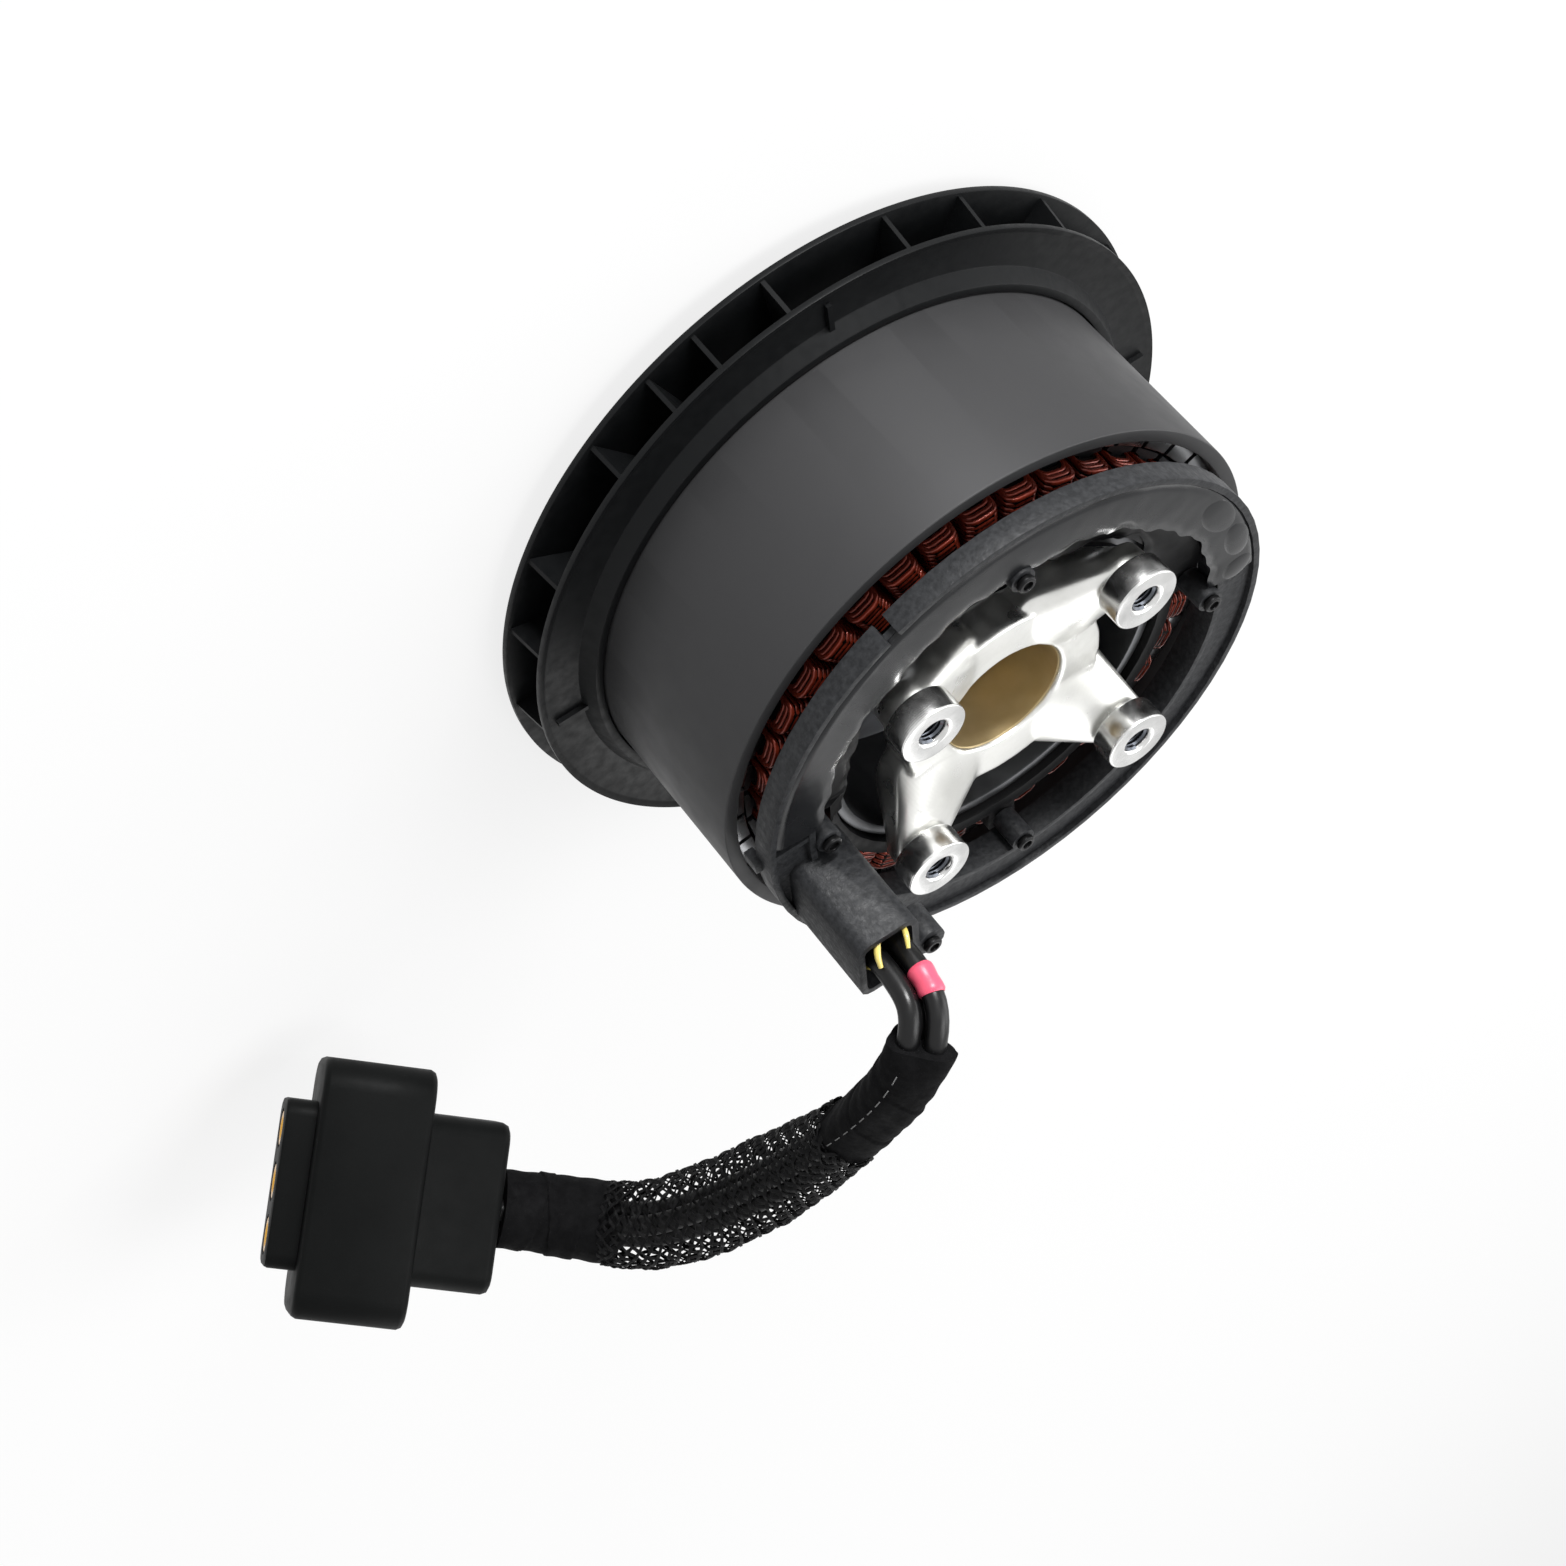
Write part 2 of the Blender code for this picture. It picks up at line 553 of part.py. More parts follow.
def cut_fan_screw_holes(fan):
    """Clearance holes for the fan screws in the fan's disc."""
    top = FAN_DISC_BOTTOM_Z + FAN_DISC_THICKNESS
    holes = []
    for index in range(FAN_SCREW_COUNT):
        place = polar(fan_screw_circle(), fan_screw_angle(index))
        radius = FAN_SCREW_RADIUS + SEAT_GAP
        holes.append(drum("hole", place, radius, FAN_DISC_BOTTOM_Z - MM, top + MM, 10))
    return combine(fan, holes, "DIFFERENCE")


def headed_screw(name, place, seat_z, head_up, head, shank, material):
    """A round-headed screw on a seat; head and shank are (radius, length)."""
    sign = 1 if head_up else -1
    edge = head[1] / 3
    profile = [
        (0.0, seat_z - sign * shank[1]),
        (shank[0], seat_z - sign * shank[1]),
        (shank[0], seat_z),
        (head[0], seat_z),
        (head[0], seat_z + sign * (head[1] - edge)),
        (head[0] - edge, seat_z + sign * head[1]),
        (0.0, seat_z + sign * head[1]),
    ]
    screw = turned(name, profile, material, steps=8)
    screw.location = (place[0], place[1], 0.0)
    return screw


def fan_screws(material):
    """Screws that hold the fan's disc under the rotor spider."""
    head = (FAN_SCREW_HEAD_RADIUS, FAN_SCREW_HEAD_HEIGHT)
    shank = (FAN_SCREW_RADIUS, FAN_DISC_THICKNESS + SEAT_GAP + SPIDER_RIM_THICKNESS)
    seat_z = FAN_DISC_BOTTOM_Z - SEAT_GAP
    for index in range(FAN_SCREW_COUNT):
        place = polar(fan_screw_circle(), fan_screw_angle(index))
        headed_screw(f"fan_screw_{index + 1}", place, seat_z, False, head, shank, material)


def rotor_shaft(material):
    """Shaft with the groove of its retaining ring."""
    groove_bottom = BEARING_BOTTOMS_Z["upper"] + BEARING_WIDTH
    groove_top = groove_bottom + CIRCLIP_THICKNESS + 2 * SEAT_GAP
    groove_radius = SHAFT_RADIUS - 2 * SEAT_GAP
    edge = 0.6 * MM
    profile = [
        (0.0, SHAFT_BOTTOM_Z),
        (SHAFT_RADIUS - edge, SHAFT_BOTTOM_Z),
        (SHAFT_RADIUS, SHAFT_BOTTOM_Z + edge),
        (SHAFT_RADIUS, groove_bottom),
        (groove_radius, groove_bottom),
        (groove_radius, groove_top),
        (SHAFT_RADIUS, groove_top),
        (SHAFT_RADIUS - edge, SHAFT_TOP_Z),
        (0.0, SHAFT_TOP_Z),
    ]
    turned("rotor_shaft", profile, material, steps=24)


def shaft_circlip(material):
    """Open retaining ring in the shaft's groove, above the upper bearing."""
    bottom = BEARING_BOTTOMS_Z["upper"] + BEARING_WIDTH + SEAT_GAP
    inner = SHAFT_RADIUS - SEAT_GAP
    top = bottom + CIRCLIP_THICKNESS
    profile = [
        (inner, bottom),
        (inner + CIRCLIP_WIDTH, bottom),
        (inner + CIRCLIP_WIDTH, top),
        (inner, top),
    ]
    turned("shaft_circlip", profile, material, steps=20, start=20.0, sweep=320.0)


def ball_bearing(place, bottom, ring_material, cage_material):
    """Outer ring, inner ring, and the balls with the cage that carries them."""
    top = bottom + BEARING_WIDTH
    middle = (bottom + top) / 2
    pitch_radius = (BEARING_OUTER_RADIUS + SHAFT_RADIUS + SEAT_GAP) / 2
    groove_half = BALL_RADIUS + 0.2 * MM
    for side, edge_radius, sign in (
        ("outer", BEARING_OUTER_RADIUS, -1),
        ("inner", SHAFT_RADIUS + SEAT_GAP, 1),
    ):
        face = edge_radius + sign * BEARING_RACE
        groove = pitch_radius - sign * (BALL_RADIUS + SEAT_GAP + 0.1 * MM)
        profile = [
            (edge_radius, bottom),
            (edge_radius, top),
            (face, top),
            (face, middle + groove_half),
            (groove, middle + groove_half / 2),
            (groove, middle - groove_half / 2),
            (face, middle - groove_half),
            (face, bottom),
        ]
        turned(f"bearing_{side}_ring_{place}", profile, ring_material, steps=20)
    band = 0.45 * MM
    cage = turned(
        f"bearing_ball_cage_{place}",
        [
            (pitch_radius - band, middle - band),
            (pitch_radius + band, middle - band),
            (pitch_radius + band, middle + band),
            (pitch_radius - band, middle + band),
        ],
        cage_material,
        steps=2 * BALL_COUNT,
    )
    balls = []
    for index in range(BALL_COUNT):
        builder = bmesh.new()
        centre = (*polar(pitch_radius, 360 * index / BALL_COUNT), middle)
        spot = Matrix.Translation(centre)
        bmesh.ops.create_uvsphere(
            builder, u_segments=8, v_segments=4, radius=BALL_RADIUS, matrix=spot
        )
        balls.append(finish_object("ball", builder, None))
    combine(cage, balls, "UNION")


def arm_body(angle):
    """Leaning cone from the hub plate to the neck of one boss."""
    turn = Matrix.Rotation(math.radians(angle), 3, "Z")
    plate_bottom = HUB_FACE_Z - PLATE_THICKNESS
    collar_z = BOSS_FACE_Z - BOSS_THICKNESS
    rings = (
        (ARM_FOOT_REACH, ARM_FOOT_RADIUS, plate_bottom + 0.7 * MM),
        (ARM_FOOT_REACH, ARM_FOOT_RADIUS, HUB_FACE_Z - ARM_FOOT_STEP),
        (BOSS_REACH - 0.4 * MM, ARM_TIP_RADIUS, collar_z - 3.6 * MM),
        (BOSS_REACH - 0.4 * MM, ARM_TIP_RADIUS, collar_z - 1.2 * MM),
    )
    builder = bmesh.new()
    for reach, radius, height in rings:
        for x, y in circle_outline((reach, 0.0), radius, 12):
            builder.verts.new(turn @ Vector((x, y, height)))
    hull = bmesh.ops.convex_hull(builder, input=builder.verts[:])
    loose = [v for v in hull["geom_interior"] if isinstance(v, bmesh.types.BMVert)]
    bmesh.ops.delete(builder, geom=loose, context="VERTS")
    return finish_object("arm", builder, None)


def boss_body(angle):
    """Neck and collar of one mounting boss, before its thread is cut."""
    collar_z = BOSS_FACE_Z - BOSS_THICKNESS
    edge = 0.5 * MM
    profile = [
        (0.0, collar_z - 3.0 * MM),
        (NECK_RADIUS, collar_z - 3.0 * MM),
        (NECK_RADIUS, collar_z),
        (BOSS_RADIUS, collar_z),
        (BOSS_RADIUS, BOSS_FACE_Z - edge),
        (BOSS_RADIUS - edge, BOSS_FACE_Z),
        (0.0, BOSS_FACE_Z),
    ]
    boss = turned("boss", profile, steps=18)
    move_mesh(boss, (*polar(BOSS_REACH, angle), 0.0))
    return boss


def move_mesh(item, offset):
    """Shifts an object's mesh, leaving its origin where it is."""
    item.data.transform(Matrix.Translation(offset))


def stator_mount(material):
    """Machined aluminium mount: bearing tube, stack seat, web, plate and four raised bosses."""
    seat = BEARING_OUTER_RADIUS + SEAT_GAP
    shoulder = seat - 1.5 * MM
    lower_top = BEARING_BOTTOMS_Z["lower"] + BEARING_WIDTH + SEAT_GAP
    upper_bottom = BEARING_BOTTOMS_Z["upper"] - SEAT_GAP
    upper_top = BEARING_BOTTOMS_Z["upper"] + BEARING_WIDTH + SEAT_GAP
    web_top = WEB_BOTTOM_Z + WEB_THICKNESS
    plate_bottom = HUB_FACE_Z - PLATE_THICKNESS
    seat_inner = SEAT_TUBE_RADIUS - SEAT_TUBE_WALL
    edge = 1.0 * MM
    profile = [
        (seat, BEARING_TUBE_BOTTOM_Z),
        (seat, lower_top),
        (shoulder, lower_top),
        (shoulder, upper_bottom),
        (seat, upper_bottom),
        (seat, upper_top),
        (BORE_RADIUS, upper_top),
        (BORE_RADIUS, HUB_FACE_Z),
        (PLATE_RADIUS - edge, HUB_FACE_Z),
        (PLATE_RADIUS, HUB_FACE_Z - edge),
        (PLATE_RADIUS, plate_bottom),
        (BEARING_TUBE_RADIUS, plate_bottom - 2 * edge),
        (BEARING_TUBE_RADIUS, web_top),
        (seat_inner, web_top),
        (seat_inner, SEAT_TUBE_TOP_Z),
        (SEAT_TUBE_RADIUS, SEAT_TUBE_TOP_Z),
        (SEAT_TUBE_RADIUS, SEAT_TUBE_BOTTOM_Z),
        (seat_inner, SEAT_TUBE_BOTTOM_Z),
        (seat_inner, WEB_BOTTOM_Z),
        (BEARING_TUBE_RADIUS, WEB_BOTTOM_Z),
        (BEARING_TUBE_RADIUS, BEARING_TUBE_BOTTOM_Z),
    ]
    mount = turned("stator_mount", profile, material, steps=36)
    pieces = []
    for angle in BOSS_ANGLES:
        arm = arm_body(angle)
        pieces.append(combine(arm, [boss_body(angle)], "UNION"))
    combine(mount, pieces, "UNION")
    cuts = [drum("bore", (0.0, 0.0), BORE_RADIUS, plate_bottom, BOSS_FACE_Z, 36)]
    for angle in BOSS_ANGLES:
        place = polar(BOSS_REACH, angle)
        bottom = BOSS_FACE_Z - THREAD_HOLE_DEPTH
        cuts.append(drum("thread", place, THREAD_HOLE_RADIUS, bottom, BOSS_FACE_Z + MM, 12))
    return combine(mount, cuts, "DIFFERENCE")


def stator_core(material):
    """Lamination stack with its teeth."""
    bore = SEAT_TUBE_RADIUS + SEAT_GAP
    yoke = bore + YOKE_WIDTH
    foot = math.sqrt(yoke**2 - (TOOTH_WIDTH / 2) ** 2)
    crown = math.sqrt(STACK_RADIUS**2 - (TIP_WIDTH / 2) ** 2)
    shoulder = crown - TIP_DEPTH
    neck = shoulder - TIP_DEPTH / 2
    one = [
        (foot, -TOOTH_WIDTH / 2),
        (neck, -TOOTH_WIDTH / 2),
        (shoulder, -TIP_WIDTH / 2),
        (crown, -TIP_WIDTH / 2),
        (crown, TIP_WIDTH / 2),
        (shoulder, TIP_WIDTH / 2),
        (neck, TOOTH_WIDTH / 2),
        (foot, TOOTH_WIDTH / 2),
    ]
    outline = []
    for index in range(TOOTH_COUNT):
        turn = Matrix.Rotation(2 * math.pi * index / TOOTH_COUNT, 2)
        outline += [tuple(turn @ Vector(p)) for p in one]
    core = prism("stator_core", outline, STACK_BOTTOM_Z, STACK_TOP_Z, material)
    hole = drum("core_bore", (0.0, 0.0), bore, STACK_BOTTOM_Z - MM, STACK_TOP_Z + MM, 48)
    return combine(core, [hole], "DIFFERENCE")


def coil_outline(half_width, bottom, top, chamfer):
    """Outline of a coil seen along its tooth, with cut corners."""
    return [
        (-half_width + chamfer, bottom),
        (half_width - chamfer, bottom),
        (half_width, bottom + chamfer),
        (half_width, top - chamfer),
        (half_width - chamfer, top),
        (-half_width + chamfer, top),
        (-half_width, top - chamfer),
        (-half_width, bottom + chamfer),
    ]


def coil_body(index, inner_reach, outer_reach):
    """One coil wound round one tooth, as a closed frame."""
    turn = Matrix.Rotation(2 * math.pi * index / TOOTH_COUNT, 3, "Z")
    bottom = STACK_BOTTOM_Z - COIL_OVERHANG
    top = STACK_TOP_Z + COIL_OVERHANG
    hole_half = TOOTH_WIDTH / 2 + SEAT_GAP
    hole_chamfer = 0.1 * MM
    outside = coil_outline(COIL_WIDTH / 2, bottom, top, COIL_CHAMFER)
    inside = coil_outline(
        hole_half, STACK_BOTTOM_Z - SEAT_GAP, STACK_TOP_Z + SEAT_GAP, hole_chamfer
    )
    builder = bmesh.new()
    rings = []
    for reach in (inner_reach, outer_reach):
        for outline in (outside, inside):
            rings.append([builder.verts.new(turn @ Vector((reach, y, z))) for y, z in outline])
    count = len(outside)
    for low, high in ((0, 1), (2, 3), (0, 2), (1, 3)):
        for i in range(count):
            j = (i + 1) % count
            builder.faces.new((rings[low][i], rings[low][j], rings[high][j], rings[high][i]))
    return finish_object("coil", builder, None)


def phase_winding(phase, material):
    """Twelve coils of one phase, joined by that phase's jumper ring under the stack."""
    number = PHASES.index(phase)
    yoke = SEAT_TUBE_RADIUS + SEAT_GAP + YOKE_WIDTH
    inner_reach = yoke + 2 * SEAT_GAP
    crown = math.sqrt(STACK_RADIUS**2 - (TIP_WIDTH / 2) ** 2)
    outer_reach = crown - 1.5 * TIP_DEPTH - SEAT_GAP
    ring_radius = inner_reach + JUMPER_WIDTH + JUMPER_PITCH * number
    half = JUMPER_WIDTH / 2
    ring_top = JUMPER_BOTTOM_Z + JUMPER_WIDTH
    ring = [
        (ring_radius - half, JUMPER_BOTTOM_Z),
        (ring_radius + half, JUMPER_BOTTOM_Z),
        (ring_radius + half, ring_top),
        (ring_radius - half, ring_top),
    ]
    winding = turned(f"winding_phase_{phase}", ring, material, steps=TOOTH_COUNT)
    coil_bottom = STACK_BOTTOM_Z - COIL_OVERHANG
    riser_reach = (ring_radius - half * 0.7, ring_radius + half * 0.7)
    riser_height = (ring_top - half, coil_bottom + half)
    pieces = []
    for index in range(number, TOOTH_COUNT, len(PHASES)):
        angle = 360 * index / TOOTH_COUNT
        riser = block("riser", riser_reach, (-half, half), riser_height, angle)
        pieces.append(combine(coil_body(index, inner_reach, outer_reach), [riser], "UNION"))
    return combine(winding, pieces, "UNION")


def end_insulators(material):
    """Resin rings at both ends of the stack; the upper one has ears for the cover screws."""
    inner = SEAT_TUBE_RADIUS + 1.5 * SEAT_GAP
    outer = inner + INSULATOR_WALL
    spans = {
        "upper": (STACK_TOP_Z + SEAT_GAP, EAR_TOP_Z),
        "lower": (STACK_BOTTOM_Z - SEAT_GAP - INSULATOR_HEIGHT + MM, STACK_BOTTOM_Z - SEAT_GAP),
    }
    for place, (bottom, top) in spans.items():
        profile = [(inner, bottom), (outer, bottom), (outer, top), (inner, top)]
        ring = turned(f"end_insulator_{place}", profile, material, steps=48)
        if place == "upper":
            reach = (inner + INSULATOR_WALL / 2, LUG_CIRCLE_RADIUS + LUG_RADIUS)
            across = (-EAR_WIDTH / 2, EAR_WIDTH / 2)
            height = (top - EAR_THICKNESS, top - 0.05 * MM)
            ears = [block("ear", reach, across, height, angle) for angle in LUG_ANGLES]
            combine(ring, ears, "UNION")
            holes = lug_holes(height[0] - MM, top + MM)
            combine(ring, holes, "DIFFERENCE")


def lug_holes(bottom, top):
    """Cutters for the four cover screws."""
    return [
        drum("lug_hole", polar(LUG_CIRCLE_RADIUS, angle), LUG_HOLE_RADIUS, bottom, top, 10)
        for angle in LUG_ANGLES
    ]


def cover_ring(material):
    """Moulded cover of the winding ends, in one piece with the upright wire duct."""
    inner = COVER_INNER_RADIUS
    floor_bottom = COVER_FLOOR_Z - COVER_FLOOR_THICKNESS
    ring = turned(
        "cover_ring",
        [
            (COVER_RADIUS, COVER_BOTTOM_Z),
            (COVER_RADIUS, COVER_TOP_Z),
            (COVER_RADIUS - COVER_WALL, COVER_TOP_Z),
            (COVER_RADIUS - COVER_WALL, COVER_FLOOR_Z),
            (inner + COVER_WALL, COVER_FLOOR_Z),
            (inner + COVER_WALL, COVER_TOP_Z),
            (inner, COVER_TOP_Z),
            (inner, SKIRT_BOTTOM_Z),
            (inner + COVER_WALL, SKIRT_BOTTOM_Z),
            (inner + COVER_WALL, floor_bottom),
            (COVER_RADIUS - COVER_WALL, floor_bottom),
            (COVER_RADIUS - COVER_WALL, COVER_BOTTOM_Z),
        ],
        material,
    )
    pieces = [
        drum("lug", polar(LUG_CIRCLE_RADIUS, angle), LUG_RADIUS, SKIRT_BOTTOM_Z, LUG_TOP_Z, 14)
        for angle in LUG_ANGLES
    ]
    duct = rounded_outline(DUCT_X, DUCT_Y, DUCT_CORNER)
    pieces.append(prism("duct", duct, COVER_BOTTOM_Z + 0.1 * MM, DUCT_TOP_Z))
    lug_bottom = DUCT_TOP_Z - DUCT_LUG_LENGTH
    lug_top = DUCT_TOP_Z - SEAT_GAP
    pieces.append(drum("duct_lug", DUCT_LUG_CENTRE, DUCT_LUG_RADIUS, lug_bottom, lug_top, 14))
    rib_reach = (inner + COVER_WALL / 2, COVER_RADIUS - COVER_WALL / 2)
    rib_height = (COVER_FLOOR_Z - 0.5 * MM, COVER_TOP_Z - 0.2 * MM)
    pieces.append(block("cross_rib", rib_reach, (-3.6 * MM, -2.4 * MM), rib_height))
    latch_reach = (COVER_RADIUS - COVER_WALL / 2, COVER_RADIUS + 1.2 * MM)
    latch_height = (COVER_BOTTOM_Z - 2.0 * MM, COVER_BOTTOM_Z + 1.6 * MM)
    pieces.append(block("latch", latch_reach, (-1.4 * MM, 1.4 * MM), latch_height, LATCH_ANGLE))
    combine(ring, pieces, "UNION")
    inside_x = (DUCT_X[0] + DUCT_WALL, DUCT_X[1] - DUCT_WALL)
    inside_y = (DUCT_Y[0] + DUCT_WALL, DUCT_Y[1] - DUCT_WALL)
    channel = rounded_outline(inside_x, inside_y, DUCT_CORNER - DUCT_WALL, 2)
    cuts = lug_holes(SKIRT_BOTTOM_Z - MM, LUG_TOP_Z + MM)
    cuts.append(prism("channel", channel, SKIRT_BOTTOM_Z - 2 * MM, DUCT_TOP_Z + MM))
    notch_reach = (COVER_RADIUS - COVER_WALL - 0.2 * MM, COVER_RADIUS + MM)
    notch_across = (-NOTCH_WIDTH / 2, NOTCH_WIDTH / 2)
    notch_height = (COVER_BOTTOM_Z - MM, COVER_TOP_Z + MM)
    cuts.append(block("notch", notch_reach, notch_across, notch_height, NOTCH_ANGLE))
    screw_hole = COVER_SCREW_RADIUS + SEAT_GAP
    cuts.append(drum("hole", DUCT_LUG_CENTRE, screw_hole, lug_bottom - MM, lug_top + MM, 10))
    return combine(ring, cuts, "DIFFERENCE")


def cover_screws(material):
    """Screws of the cover and the one on the duct's lug."""
    head = (COVER_SCREW_HEAD_RADIUS, COVER_SCREW_HEAD_HEIGHT)
    seat_z = LUG_TOP_Z + SEAT_GAP
    shank = (COVER_SCREW_RADIUS, seat_z - EAR_TOP_Z + EAR_THICKNESS)
    for number, angle in enumerate(LUG_ANGLES):
        place = polar(LUG_CIRCLE_RADIUS, angle)
        headed_screw(f"cover_screw_{number + 1}", place, seat_z, True, head, shank, material)
    shank = (COVER_SCREW_RADIUS, DUCT_LUG_LENGTH - MM)
    headed_screw("duct_screw", DUCT_LUG_CENTRE, DUCT_TOP_Z, True, head, shank, material)


def potting(material):
    """Resin in the cover's channel, the apron of it inside the cover, and the plug in the duct."""
    bottom = COVER_FLOOR_Z + SEAT_GAP
    outer = COVER_RADIUS - COVER_WALL - SEAT_GAP
    inner = COVER_INNER_RADIUS + COVER_WALL + SEAT_GAP
    middle = (outer + inner) / 2
    profile = [
        (inner, bottom),
        (outer, bottom),
        (outer, bottom + POTTING_THICKNESS),
        (middle, bottom + 0.7 * POTTING_THICKNESS),
        (inner, bottom + POTTING_THICKNESS),
    ]
    sweep = POTTING_END_ANGLE - POTTING_START_ANGLE
    turned("potting_compound", profile, material, 36, POTTING_START_ANGLE, sweep)
    low = EAR_TOP_Z + SEAT_GAP
    reach = (SEAT_TUBE_RADIUS + SEAT_GAP, COVER_INNER_RADIUS - SEAT_GAP)
    profile = [
        (reach[0], low),
        (reach[1], low),
        (reach[1], low + APRON_THICKNESS + APRON_RISE),
        (reach[0], low + APRON_THICKNESS),
    ]
    apron = turned("resin_apron", profile, material, 36, APRON_START_ANGLE, APRON_SWEEP)
    centre = polar(LUG_CIRCLE_RADIUS, -90.0)
    clear = LUG_RADIUS + SEAT_GAP
    notch_x = (LUG_CIRCLE_RADIUS, COVER_INNER_RADIUS + MM)
    notch = block("notch", notch_x, (-clear, clear), (low - MM, COVER_TOP_Z), -90.0)
    combine(apron, [drum("lug_space", centre, clear, low - MM, COVER_TOP_Z, 14), notch], "DIFFERENCE")
    margin = DUCT_WALL + SEAT_GAP
    plug_x = (DUCT_X[0] + margin, DUCT_X[1] - margin)
    plug_y = (DUCT_Y[0] + margin, DUCT_Y[1] - margin)
    outline = rounded_outline(plug_x, plug_y, DUCT_CORNER - DUCT_WALL, 2)
    prism("duct_potting", outline, COVER_TOP_Z, DUCT_TOP_Z - DUCT_POTTING_DEPTH, material)


def smooth_route(points, step):
    """Even points along the smooth curve through the route's own points."""
    points = np.array(points, float)
    padded = np.vstack([2 * points[0] - points[1], points, 2 * points[-1] - points[-2]])
    fine = []
    for i in range(1, len(padded) - 2):
        before, start, end, after = padded[i - 1 : i + 3]
        for t in np.linspace(0, 1, 12, endpoint=False):
            curve = 2 * start + (end - before) * t
            curve = curve + (2 * before - 5 * start + 4 * end - after) * t**2
            curve = curve + (3 * start - before - 3 * end + after) * t**3
            fine.append(curve / 2)
    fine.append(points[-1])
    fine = np.array(fine)
    along = np.concatenate([[0], np.cumsum(np.linalg.norm(np.diff(fine, axis=0), axis=1))])
    count = max(2, int(round(along[-1] / step)) + 1)
    at = np.linspace(0, along[-1], count)
    return [Vector([np.interp(s, along, fine[:, k]) for k in range(3)]) for s in at]


def route_frames(line):
    """For each point of a line, its direction and two sideways directions that don't twist."""
    frames = []
    side = Vector((1, 0, 0))
    for i, point in enumerate(line):
        ahead = line[min(i + 1, len(line) - 1)] - line[max(i - 1, 0)]
        ahead.normalize()
        side = (side - ahead * side.dot(ahead)).normalized()
        frames.append((point, ahead, side, ahead.cross(side)))
    return frames


def frame_at(frames, distance):
    """The frame at a distance along the route, between the two nearest points."""
    walked = 0.0
    for first, second in zip(frames, frames[1:]):
        length = (second[0] - first[0]).length
        if walked + length >= distance - 1e-9:
            share = (distance - walked) / length
            return tuple(a.lerp(b, share) for a, b in zip(first, second))
        walked += length
    return frames[-1]


def stations(frames, span):
    """The ends of a span of the route and the route's own points between them."""
    walked = [0.0]
    for first, second in zip(frames, frames[1:]):
        walked.append(walked[-1] + (second[0] - first[0]).length)
    inside = [s for s in walked if span[0] + MM < s < span[1] - MM]
    return [span[0], *inside, span[1]]


def sleeve_body(name, frames, span, inner_radii, outer_radii, material, sides=12):
    """A tube of any radius along the route between two distances, as one closed wall."""
    places = stations(frames, span)
    count = len(places)
    builder = bmesh.new()
    rings = []
    for radii in (outer_radii, inner_radii):
        rows = []
        for distance in places:
            share = (distance - span[0]) / (span[1] - span[0])
            point, _, side, up = frame_at(frames, distance)
            radius = float(np.interp(share, np.linspace(0, 1, len(radii)), radii))
            row = []
            for k in range(sides):
                angle = 2 * math.pi * k / sides
                offset = side * math.cos(angle) + up * math.sin(angle)
                row.append(builder.verts.new(point + offset.normalized() * radius))
            rows.append(row)
        rings.append(rows)
    for rows in rings:
        for low, high in zip(rows, rows[1:]):
            for k in range(sides):
                m = (k + 1) % sides
                builder.faces.new((low[k], low[m], high[m], high[k]))
    for end in (0, count - 1):
        outer, inner = rings[0][end], rings[1][end]
        for k in range(sides):
            m = (k + 1) % sides
            builder.faces.new((outer[k], outer[m], inner[m], inner[k]))
    return finish_object(name, builder, material, 60.0)


def wire_tube(name, points, radius, material):
    """A round wire as a bevelled curve with closed ends."""
    curve = bpy.data.curves.new(name, "CURVE")
    curve.dimensions = "3D"
    curve.bevel_depth = radius
    curve.bevel_resolution = 2
    curve.use_fill_caps = True
    spline = curve.splines.new("POLY")
    spline.points.add(len(points) - 1)
    for place, point in zip(spline.points, points):
        place.co = (*point, 1.0)
    curve.materials.append(material)
    item = bpy.data.objects.new(name, curve)
    bpy.context.scene.collection.objects.link(item)
    return item


